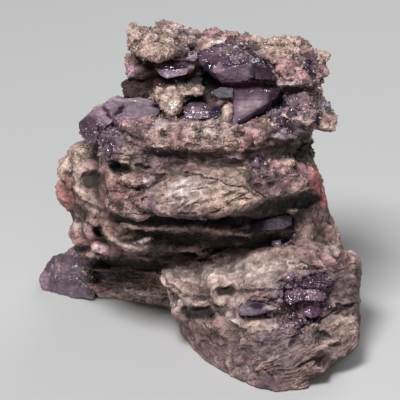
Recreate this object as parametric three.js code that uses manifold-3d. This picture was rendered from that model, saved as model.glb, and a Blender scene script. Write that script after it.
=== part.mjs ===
// Fluorite specimen: purple fluorite crystals in a broken block of layered, sugar-coated rock.
// Millimetres, +Z up. The front of the specimen faces -Y, and it stands on a flat cut face at Z = 0.
// The origin is the point of that face under the middle of the specimen's weight.

import * as THREE from "three";
import { ConvexGeometry } from "three/addons/geometries/ConvexGeometry.js";
import { mergeVertices } from "three/addons/utils/BufferGeometryUtils.js";
import Module from "manifold-3d";

const wasm = await Module();
wasm.setup();

// The rock's broken front leans back, and every place on it is given as seen square to that lean from
// a point in front: x to the right, h up the front, d out of it toward that point.
const FRONT_LEAN = THREE.MathUtils.degToRad(25);
const SIGHT_DISTANCE = 1000;
const SIGHT_HEIGHT = 57.6;

// Where the middle of the weight stands, from the lowest front point of the rock.
const BASE_POINT = new THREE.Vector3(8, 48, 0);

// Room left between a crystal and the rock around it, and how far the rock is cut below its base.
const SEAT_GAP = 0.3;
const BELOW_BASE = -2;

// The general look of a broken lump: how square it is, how uneven, and how many corners it has, on the
// front and on the sides and the back.
const LUMP_SQUARENESS = 0.6;
const LUMP_ROUGHNESS = 0.17;
const LUMP_TWIST = 0.5;
const LUMP_CORNERS = 11;
const CHUNK_CORNERS = 10;
const GOLDEN_ANGLE = Math.PI * (3 - Math.sqrt(5));

// Corners closer together than this are one corner.
const MERGE_DISTANCE = 1e-4;

// A repeatable source of unevenness: each number is the last one times a factor, within a prime span.
const RANDOM_FACTOR = 48271;
const RANDOM_SPAN = 2147483647;
const SEED_SCALE = 1000;
const SEED_WEIGHTS = [131, 17, 7];

function unevenness(seed) {
  let state = Math.abs(Math.round(seed * SEED_SCALE)) % (RANDOM_SPAN - 1) + 1;
  return () => {
    state = (state * RANDOM_FACTOR) % RANDOM_SPAN;
    return state / RANDOM_SPAN;
  };
}

// A lump's own seed, from where it is.
function seedAt(...numbers) {
  return numbers.reduce((sum, number, index) => sum + number * SEED_WEIGHTS[index], 0);
}

// A place on the front, as a point of the specimen.
function place([x, h, d]) {
  const spread = 1 - d / SIGHT_DISTANCE;
  const across = x * spread;
  const up = SIGHT_HEIGHT + (h - SIGHT_HEIGHT) * spread;
  const sin = Math.sin(FRONT_LEAN);
  const cos = Math.cos(FRONT_LEAN);
  return new THREE.Vector3(across, up * sin - d * cos, up * cos + d * sin).sub(BASE_POINT);
}

// A point just under the base, so that the flat cut passes through what stands on it.
function ground([x, y]) {
  return new THREE.Vector3(x, y, BELOW_BASE).sub(BASE_POINT);
}

function solid(geometry) {
  geometry.deleteAttribute("normal");
  geometry.deleteAttribute("uv");
  const merged = mergeVertices(geometry, MERGE_DISTANCE);
  return new wasm.Manifold(new wasm.Mesh({
    numProp: 3,
    vertProperties: new Float32Array(merged.attributes.position.array),
    triVerts: new Uint32Array(merged.index.array),
  }));
}

function hullOf(points) {
  return solid(new ConvexGeometry(points));
}

// A solid block of rock through places on the front and points of the base.
function mass(places, basePoints = []) {
  return hullOf([...places.map(place), ...basePoints.map(ground)]);
}

// The corners of one broken lump, from 0 to 1 along each of its sides. Its layers dip by dip degrees.
function brokenCorners(seed, { dip = 0, corners = LUMP_CORNERS, square = LUMP_SQUARENESS } = {}) {
  const random = unevenness(seed);
  const turn = new THREE.Matrix4().makeRotationZ(THREE.MathUtils.degToRad(dip));
  const points = [];
  for (let i = 0; i < corners; i += 1) {
    const level = 1 - (2 * (i + 0.5)) / corners;
    const ring = Math.sqrt(1 - level * level);
    const around = i * GOLDEN_ANGLE + random() * LUMP_TWIST;
    const round = [ring * Math.cos(around), level, ring * Math.sin(around)];
    const [a, b, c] = round.map((part) => Math.sign(part) * Math.abs(part) ** square);
    const reach = 1 - LUMP_ROUGHNESS * random();
    points.push(new THREE.Vector3(a, b, c).multiplyScalar(reach).applyMatrix4(turn));
  }
  const box = new THREE.Box3().setFromPoints(points);
  const size = box.getSize(new THREE.Vector3());
  return points.map((point) => point.sub(box.min).divide(size));
}

function between([low, high], part) {
  return low + part * (high - low);
}

// A lump of the front in the ranges x, h and d. It runs level into the rock, so it rises on the front
// as it goes back; hinge says where along its depth it has the height h, from 0 behind to 1 in front.
function lump(x, h, d, options = {}) {
  const { hinge = 1 } = options;
  const corners = brokenCorners(seedAt(x[0], h[0], d[1]), options);
  return hullOf(corners.map((part) => {
    const depth = between(d, part.z);
    const rise = (between(d, hinge) - depth) * Math.tan(FRONT_LEAN);
    return place([between(x, part.x), between(h, part.y) + rise, depth]);
  }));
}

// A lump of the sides or the back, in the specimen's own ranges x, y and z.
function chunk(x, y, z, options = {}) {
  const corners = brokenCorners(seedAt(x[0], y[0], z[0]), { corners: CHUNK_CORNERS, ...options });
  return hullOf(corners.map((part) => (
    new THREE.Vector3(between(x, part.x), between(y, part.z), between(z, part.y)).sub(BASE_POINT)
  )));
}

// A crystal is one solid of several flat-faced parts. Grown by the seat gap, it cuts its own seat.
function crystal(parts, grown = 0) {
  const solids = parts.map((places) => {
    const points = places.map(place);
    if (grown === 0) {
      return hullOf(points);
    }
    const outer = [];
    for (const point of points) {
      for (const i of [-grown, grown]) {
        for (const j of [-grown, grown]) {
          for (const k of [-grown, grown]) {
            outer.push(new THREE.Vector3(i, j, k).add(point));
          }
        }
      }
    }
    return hullOf(outer);
  });
  return wasm.Manifold.union(solids);
}

// The two great blocks of the rock and the foot at the left, under all the lumps.
const CORES = [
  // The upper block.
  mass([
    [-27, 44, -20], [30, 44, -20], [-30, 60, -30], [-28, 74, -28], [-20, 94, -30], [-14, 102, -33],
    [34, 60, -24], [33, 72, -24], [28, 94, -26], [31, 98, -34], [-18, 58, -14], [16, 60, -14],
    [-28, 40, -56], [35, 44, -54], [-24, 74, -44], [32, 74, -42], [0, 70, -46], [4, 104, -33],
  ]),
  // Its front between the shelf and the recess.
  mass([
    [-28, 53, -14], [-30, 62, -13], [-30, 72, -12], [-24, 73, -7], [-20, 58, -6], [-19, 53, -8],
    [16, 53, -8], [20, 58, -5], [24, 66, -7], [22, 74, -7], [33, 71, -17], [34.6, 61, -20],
    [33, 53, -22], [27, 53, -15], [-28, 54, -40], [33, 54, -40], [-28, 74, -40], [33, 74, -40],
  ]),
  // Its left flank.
  mass([
    [-38.4, 56, -38], [-40.6, 60, -37], [-40, 65, -36], [-38, 70, -35], [-34, 75, -33], [-27, 77, -17],
    [-26, 64, -13], [-26, 55, -15], [-29, 46, -26], [-36, 44.6, -42], [-26, 43, -24], [-26, 77, -38],
    [-26, 46, -48], [-37, 60, -46], [-34, 48, -48],
  ]),
  // Its right flank.
  mass([
    [29, 44.6, -20], [39, 44, -25], [42.6, 45, -28], [38.4, 52, -27], [35.6, 60, -26], [34.6, 68.6, -25],
    [28, 68, -13], [28, 56, -12], [35, 45, -44], [31, 68, -40], [28, 46, -24], [30, 40, -46],
  ]),
  // The lower block.
  mass(
    [
      [-12, 39, -38], [0, 41, -24], [25, 43.6, -11], [30, 45, -9], [38, 45.2, -15], [45, 42.3, -21],
      [48.3, 38, -25], [48.3, 30, -27], [48, 22, -28], [-10, 31, -28], [3, 30, -13], [15, 31, -4],
      [24, 33, -1.4], [30, 30, 0], [27, 15, 3], [26, 5, 1.6], [0, 22, -9], [13, 14, -2], [19, 4, 1.6],
    ],
    [
      [16.5, 2.8], [9.2, 10.8], [2.2, 19.2], [-3.6, 27.8], [-5.9, 36.9], [-6.9, 49.7], [-8.2, 54],
      [26, 0.4], [31.6, 2.8], [36.8, 7.1], [41.6, 15.6], [46.8, 24.1], [49.8, 31], [49.4, 37], [47.5, 60],
      [40, 76], [0, 80],
    ],
  ),
  // The foot.
  mass(
    [[-44, 38, -62], [-38, 41.6, -60], [-44, 33, -64], [-20, 37, -50], [-8, 36, -40]],
    [[-44, 71.6], [-40.5, 68.2], [-30, 66], [-19.5, 64], [-9, 58.6], [-43, 79], [0, 82], [2, 50]],
  ),
];

// The cap over the top crystals.
const CAP = [
  mass([
    [-22.8, 105.5, -16], [-21, 102.6, -13], [-17, 99.5, -10], [-13.5, 98.2, -8], [-10, 99.5, -9],
    [-5, 103, -11], [-22, 109, -22], [-16.5, 109.5, -26], [-11.4, 110.8, -28], [-8, 110.8, -28],
    [-4.5, 109.5, -26], [-20, 104, -34], [-4, 104, -36], [-12, 108, -36],
  ]),
  lump([-22.4, -17.6], [106.8, 109.8], [-22, -16], { hinge: 0 }),
  lump([-20.6, -9], [100, 106], [-18, -7.4], { dip: -24, hinge: 0.5 }),
  lump([-13, -2], [102, 108], [-26, -13], { hinge: 0.4 }),
  lump([-7, 9], [101, 108.8], [-34, -20], { hinge: 0.1 }),
  lump([3, 16], [101, 108], [-34, -20.4], { hinge: 0.1 }),
  lump([-1, 8], [103.4, 107], [-28, -18.6], { hinge: 0.5 }),
  lump([-15, 6], [98, 102.6], [-30, -19], { hinge: 0.6 }),
  lump([15, 25], [98, 106.8], [-30, -16], { hinge: 0.1 }),
  lump([22, 31.6], [102, 107], [-30, -19], { hinge: 0.1 }),
  lump([21, 34.6], [93, 106.6], [-30, -16], { hinge: 0.1 }),
  lump([18, 29], [97, 103.4], [-24, -12.4], { dip: -12, hinge: 0.4 }),
  lump([22, 34], [90.6, 98], [-22, -11], { hinge: 0.7 }),
  lump([31, 39.3], [98.6, 102.4], [-26, -18], { hinge: 0.3 }),
  lump([30, 39.8], [93.4, 98.4], [-27, -18], { hinge: 0.5 }),
  lump([29, 38], [90, 95.2], [-26, -16], { hinge: 0.6 }),
  lump([-24, -13], [88.4, 94], [-28, -20], { hinge: 0.4 }),
  lump([-22.3, -14], [93.8, 98.4], [-22, -13], { hinge: 0.5 }),
];

// The tan crumbs that stand in the dark cavity under the cap.
const CRUMBS = [
  lump([-15, -4.6], [88.6, 92], [-30, -8], { hinge: 0.8 }),
  lump([-6.4, 1.4], [88.2, 91.4], [-30, -8], { hinge: 0.8 }),
  lump([-10.8, -5], [82, 89.4], [-16, -5], { hinge: 0.7 }),
  lump([-7.8, -3.7], [90.6, 93], [-24, -13], { hinge: 0.6 }),
  lump([-14.4, -8], [85, 89], [-18, -7], { hinge: 0.7 }),
];

// The wide shelf that carries the left, middle and right crystals.
const SHELF = [
  lump([-27, 31], [71, 80.5], [-26, -7], { square: 0.45, corners: 16 }),
  mass([
    [-22, 82, -13], [12, 82, -11], [-16, 73.5, -3], [-9, 74.5, -1], [0, 73.5, 0], [10, 73, 0],
    [14, 72.6, -1], [-14, 71, -8], [12, 70, -7],
  ]),
  lump([-23, -11], [75, 81.4], [-12, -4], { dip: -12, hinge: 0.6 }),
  lump([-14, 0], [74.4, 81], [-11, -1.4], { dip: -6, hinge: 0.7 }),
  lump([-4, 8], [75, 81.6], [-12, -2], { dip: 4, hinge: 0.6 }),
  lump([3, 14], [73, 80], [-10, -1], { dip: 8, hinge: 0.7 }),
  lump([5.6, 10.6], [79.6, 86.2], [-11, -4.8], { hinge: 0.4 }),
  lump([-18, -6], [71.6, 76.4], [-9, -0.8]),
  lump([-9, 4], [71.2, 75.6], [-8, 0.4]),
  lump([1, 15], [71.4, 75.6], [-8, 0.6]),
  // The purple sugary mass at the right end.
  lump([25, 34], [80, 89.4], [-20, -6.6], { dip: 6, hinge: 0.5 }),
  lump([26, 38], [82, 89.6], [-24, -10], { hinge: 0.4 }),
  lump([28, 39], [82.6, 87.4], [-20, -9], { hinge: 0.5 }),
  lump([28, 41.4], [79.4, 84.2], [-20, -8.4], { hinge: 0.6 }),
  lump([26, 40.4], [79, 82.8], [-20, -8], { dip: 6, hinge: 0.6 }),
  lump([23, 36], [79.2, 84], [-10, -1.6], { dip: -16, hinge: 0.8 }),
  lump([13, 25], [75, 80.4], [-11, -2.4], { hinge: 0.8 }),
  lump([18.6, 31], [73.6, 80.2], [-12, -3], { dip: -6 }),
  lump([11, 21], [73.6, 78.6], [-9, -1.2]),
  lump([15, 34], [71.4, 77.4], [-18, -5], { dip: 8, hinge: 0.8 }),
  lump([23, 34.4], [67, 75], [-28, -14], { hinge: 0.6 }),
  // The glittering dark face under the left crystal.
  lump([-31.6, -21], [70, 79], [-16, -5], { hinge: 0.6 }),
  lump([-26, -14.6], [72.6, 79], [-12, -3], { dip: -30, hinge: 0.6 }),
  lump([-27, -13], [69.4, 75], [-14, -3.6], { dip: -14, hinge: 0.8 }),
];

// The thin dark layers under the shelf.
const BAND = [
  lump([-30, -3], [69, 72.6], [-18, -5.6], { dip: -3, square: 0.5 }),
  lump([-7, 16], [68.2, 72], [-16, -5], { square: 0.5 }),
  lump([-28, -8], [65.8, 69.6], [-16, -5], { dip: -2, square: 0.5 }),
  lump([7.6, 13.6], [69, 71.4], [-9, -3.4]),
  lump([-1, 22], [65.2, 69], [-16, -7], { square: 0.5 }),
  lump([11, 23], [69, 73.6], [-14, -6.4]),
  lump([18, 29], [64.8, 70.6], [-14, -4.2]),
  lump([25, 35.6], [61, 67.4], [-20, -8], { dip: -10, hinge: 0.7 }),
  lump([13.6, 25], [59, 65.6], [-12, -4.4]),
  lump([19, 32], [58.6, 64], [-14, -4.2], { dip: 4 }),
  lump([31, 36.7], [60.6, 67.6], [-28, -18], { hinge: 0.5 }),
  mass([[35.5, 61, -24], [39.2, 57.3, -24], [36, 55.3, -24], [32, 56, -32], [31, 62, -20], [31, 55, -18]]),
];

// The flat slab and the great cracked wedge below it.
const WEDGE = [
  mass([
    [-3, 66, -2], [3, 67.6, -4], [15, 67.8, -4], [15.6, 61.2, 0], [12, 62.9, 1.5], [1.5, 64.6, 0],
    [-3, 64.5, -12], [15, 66, -14], [15, 60, -12],
  ]),
  mass([
    [-15, 60.6, -1], [-8.5, 64.8, -1], [-3, 65.4, 0], [1.5, 64.1, 1], [12, 62.1, 2.5],
    [15, 60.6, 2.5], [21, 58.7, 1.5], [13.5, 55.8, 3.5], [8.4, 54, 4.4], [0, 57, 6.4],
    [-9, 56.6, 5.2], [-20, 55.5, -1.5], [-20, 58, -2], [-15, 54.6, 2.4], [-18, 58, -16],
    [-10, 63, -14], [18, 60, -14], [6, 54, -16], [-14, 54, -16],
  ]),
  mass([
    [-16, 55.4, 0.6], [-9, 55.6, 4.4], [0, 56, 5.6], [9, 58, 4.2], [21, 58.2, 0], [13, 55, 1.6],
    [5, 52.2, 3.4], [-4, 52.6, 4.4], [-12, 53.2, 3], [-14, 53, -14], [8, 53, -14], [18, 56, -12],
  ]),
  lump([-28.6, -18], [60.6, 66], [-14, -5], { hinge: 0.8 }),
  lump([-22.4, -12.6], [60.6, 65.4], [-11, -3.2], { dip: -12, hinge: 0.8 }),
  lump([-27.6, -17.6], [55.6, 61.6], [-14, -4.2], { dip: -10, hinge: 0.8 }),
  lump([-29.6, -19.6], [51.8, 57.8], [-18, -7], { dip: -14, hinge: 0.8 }),
  lump([-24.6, -13.6], [50.8, 55.6], [-14, -3.6], { dip: -8, hinge: 0.9 }),
];

// The left flank, with its deep cream and pink lumps.
const LEFT_FLANK = [
  mass([
    [-40.2, 70.8, -38], [-39, 68.5, -30], [-37.6, 73.6, -36], [-33.6, 76, -30], [-30, 66, -22],
    [-27, 77, -22], [-39, 67, -46], [-30, 77, -46],
  ]),
  lump([-43.1, -27], [62.8, 69.4], [-44, -30], { corners: 18, hinge: 0.5 }),
  lump([-40, -25], [65, 73.4], [-38, -20], { corners: 18, hinge: 0.5 }),
  lump([-43.8, -29], [58, 62.6], [-44, -32], { dip: -6, hinge: 0.5 }),
  lump([-44, -28], [55.6, 59.4], [-44, -33], { dip: -8, hinge: 0.5 }),
  lump([-38, -25], [54.6, 65], [-34, -16], { dip: -10, hinge: 0.5 }),
  lump([-34, -23.6], [50, 57], [-30, -15], { dip: -16, hinge: 0.5 }),
  lump([-40, -29], [45.6, 50], [-46, -32], { hinge: 0.5 }),
  lump([-35, -25], [47, 53], [-38, -25], { hinge: 0.5 }),
  lump([-33, -22.6], [40.2, 44.6], [-38, -23], { hinge: 0.8 }),
  lump([-39, -27], [41, 45.6], [-48, -35], { hinge: 0.5 }),
  lump([-29, -17], [44.6, 51.6], [-26, -13.4], { dip: -10, hinge: 0.8 }),
  lump([-26, -11.6], [42.6, 48], [-24, -12], { dip: 12, hinge: 0.8 }),
  lump([-26, -13.6], [40.8, 44.4], [-24, -13], { dip: 6, hinge: 0.9 }),
  lump([-17, -8.6], [42, 46.6], [-26, -14.4], { hinge: 0.8 }),
];

// The recess over the lower block, with its thin lit ledge, and the right flank beside it.
const RECESS = [
  lump([-22, 5], [47.2, 49.4], [-20, -8.4], { dip: 2, square: 0.5 }),
  lump([-1, 14.4], [46, 48.6], [-20, -10], { dip: -6, square: 0.5 }),
  lump([7, 14.4], [42.8, 46], [-22, -14]),
  lump([17, 20.8], [42.4, 45], [-14, -9], { hinge: 0.7 }),
  lump([-13, 3], [40.4, 44], [-28, -17]),
  lump([30, 39.6], [50.4, 55.6], [-32, -19], { hinge: 0.5 }),
  lump([30, 42.6], [44.8, 50], [-32, -18], { dip: -14, hinge: 0.5 }),
  lump([29, 37], [55, 60.4], [-30, -19], { hinge: 0.5 }),
  lump([27, 35], [44.6, 52], [-26, -14], { hinge: 0.6 }),
];

// The lower block: its bright hump, lumps, broken face and the dipping layers at its right.
const LOWER_BLOCK = [
  lump([-13, 6], [28.6, 33], [-34, -15], { dip: 2, corners: 18 }),
  lump([0, 18.6], [29, 33.4], [-26, -7], { dip: 4, corners: 22 }),
  lump([13, 30], [31, 35.4], [-20, -3], { dip: 8, corners: 22 }),
  lump([24, 40], [36, 43], [-22, -6], { dip: 6, hinge: 0.5 }),
  lump([34, 48.4], [34.6, 40.6], [-32, -14], { dip: -14, hinge: 0.5 }),
  lump([42, 49.4], [32.6, 38], [-32, -20], { hinge: 0.5 }),
  lump([12, 28], [27.6, 32.6], [-12, 0.8], { dip: 10 }),
  lump([1, 16], [25.6, 30.4], [-18, -4]),
  lump([8, 19.2], [19.4, 27], [-10, 2.6], { dip: 10 }),
  lump([14, 25], [16, 22.6], [-8, 3.4]),
  lump([35.6, 49], [29, 34], [-26, -12], { dip: -14, hinge: 0.7 }),
  lump([34, 48.8], [23.4, 29], [-24, -9], { dip: 24, hinge: 0.7 }),
  lump([33, 48.2], [17.6, 23.6], [-22, -6.4], { dip: 20, hinge: 0.7 }),
  lump([32, 49], [12.6, 18.6], [-22, -6.4], { dip: 18, hinge: 0.7 }),
  lump([22.6, 36], [11, 17.4], [-12, 3.2], { dip: 20 }),
  lump([10.4, 25.6], [10.6, 16.6], [-10, 2.8], { dip: 12 }),
  lump([19.4, 37], [7.4, 12.4], [-12, 3.6], { dip: 18 }),
  lump([32, 45.6], [7.4, 13], [-18, -3.6], { dip: 18 }),
  lump([13, 31], [4, 9.6], [-12, 2.8], { dip: 14 }),
  lump([22.6, 40], [2, 7.8], [-14, 2.4], { dip: 18 }),
  lump([18, 34], [-2, 4.2], [-12, 1.6], { dip: 14 }),
  lump([0.6, 13.6], [15.6, 23], [-16, -2]),
  lump([-7, 6], [21.4, 27], [-26, -9]),
];

// The foot at the left: the stepped layers of its front and the broken top behind the fluorite.
const FOOT = [
  lump([-34, -18], [28, 32], [-66, -54], { dip: -2, square: 0.5, hinge: 0.8 }),
  lump([-22, -6], [27, 31], [-60, -47], { dip: -3, square: 0.5, hinge: 0.8 }),
  lump([-10, 4], [26, 30.4], [-42, -18], { dip: -4, square: 0.5, hinge: 0.5 }),
  lump([-34, -18], [30, 34], [-68, -55], { dip: 4, hinge: 0.7 }),
  lump([-24, -6], [29.6, 34], [-58, -43], { dip: -4, hinge: 0.7 }),
  lump([-36, -24], [36, 40.6], [-70, -58], { hinge: 0.5 }),
];

// The back wall, broken off behind, with the chunks that stand out of it and of the two sides.
const BACK = [
  mass(
    [
      [-13, 104, -34], [24, 103, -34], [-21, 88, -39], [29, 88, -39], [-27, 66, -48], [31, 66, -48],
      [-31, 48, -55], [34, 48, -55], [4, 70, -48], [-26, 66, -34], [32, 66, -30], [-20, 92, -30],
      [30, 92, -28], [-30, 48, -40], [36, 48, -36],
    ],
    [[-40, 74], [-10, 75], [24, 74], [42, 66], [0, 56]],
  ),
  chunk([-18, 6], [58, 77], [72, 86], { dip: 12 }),
  chunk([2, 30], [58, 80], [68, 83], { dip: -10 }),
  chunk([-6, 34], [56, 76], [58, 74], { dip: -16 }),
  chunk([-24, 0], [56, 78], [54, 76], { dip: -14 }),
  chunk([-30, -4], [56, 75], [42, 60], { dip: 14 }),
  chunk([-10, 22], [56, 81], [46, 64], { dip: 8 }),
  chunk([10, 35], [56, 77], [36, 60], { dip: -20 }),
  chunk([-34, -6], [56, 80], [28, 46], { dip: -10 }),
  chunk([-14, 18], [56, 78], [26, 50], { dip: 18 }),
  chunk([8, 38], [52, 80], [18, 42], { dip: -12 }),
  chunk([-37, -8], [60, 83], [12, 32], { dip: 10 }),
  chunk([-38, -8], [67, 82], [-2, 18], { dip: -6 }),
  chunk([-16, 14], [58, 84], [8, 30], { dip: -14 }),
  chunk([-12, 24], [58, 81], [-2, 14], { dip: 8 }),
  chunk([10, 44], [52, 80], [-2, 24], { dip: 10 }),
  chunk([28, 49], [34, 64], [-2, 20], { dip: 14 }),
  // The right side.
  chunk([12, 34.8], [44, 66], [54, 68], { dip: -8 }),
  chunk([14, 35], [52, 74], [44, 60], { dip: 14 }),
  chunk([14, 36], [56, 72], [64, 82], { dip: 10 }),
  chunk([20, 37], [42, 62], [36, 52], { dip: 12 }),
  chunk([20, 38.4], [50, 72], [26, 42], { dip: -10 }),
  chunk([26, 41], [40, 58], [24, 36], { dip: 8 }),
  chunk([30, 48.6], [29, 54], [10, 27], { dip: -18 }),
  chunk([28, 49], [44, 66], [8, 24], { dip: 12 }),
  // The left side.
  chunk([-40.6, -20], [57, 74], [36, 50], { dip: 16 }),
  chunk([-38, -18], [56, 72], [26, 40], { dip: -10 }),
  chunk([-34, -14], [56, 74], [46, 61], { dip: -12 }),
  chunk([-22, -8], [58, 74], [62, 80], { dip: 10 }),
  chunk([-9, 6], [35, 56], [8, 22], { dip: -10 }),
];

// Hollows cut back into the rock.
const PITS = [
  lump([-17, 5], [88, 96.4], [-28, -8], { hinge: 0.5 }),
  lump([19.6, 26], [93, 96], [-18, -8]),
  lump([-27.6, -22.4], [64.8, 68.8], [-12, -3]),
  lump([16, 21], [60.6, 65.8], [-8, 0]),
  lump([-31.6, -29], [46.8, 50.2], [-34, -24]),
  lump([-36, -28.6], [60.6, 65], [-32, -20], { hinge: 0.6 }),
  lump([23, 40], [17, 36], [-8, 6], { square: 0.8, hinge: 0.5 }),
  lump([-3, 6], [21.6, 25.4], [-12, -5]),
  lump([4.4, 10.6], [28.6, 31.6], [-9, -2]),
];

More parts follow.
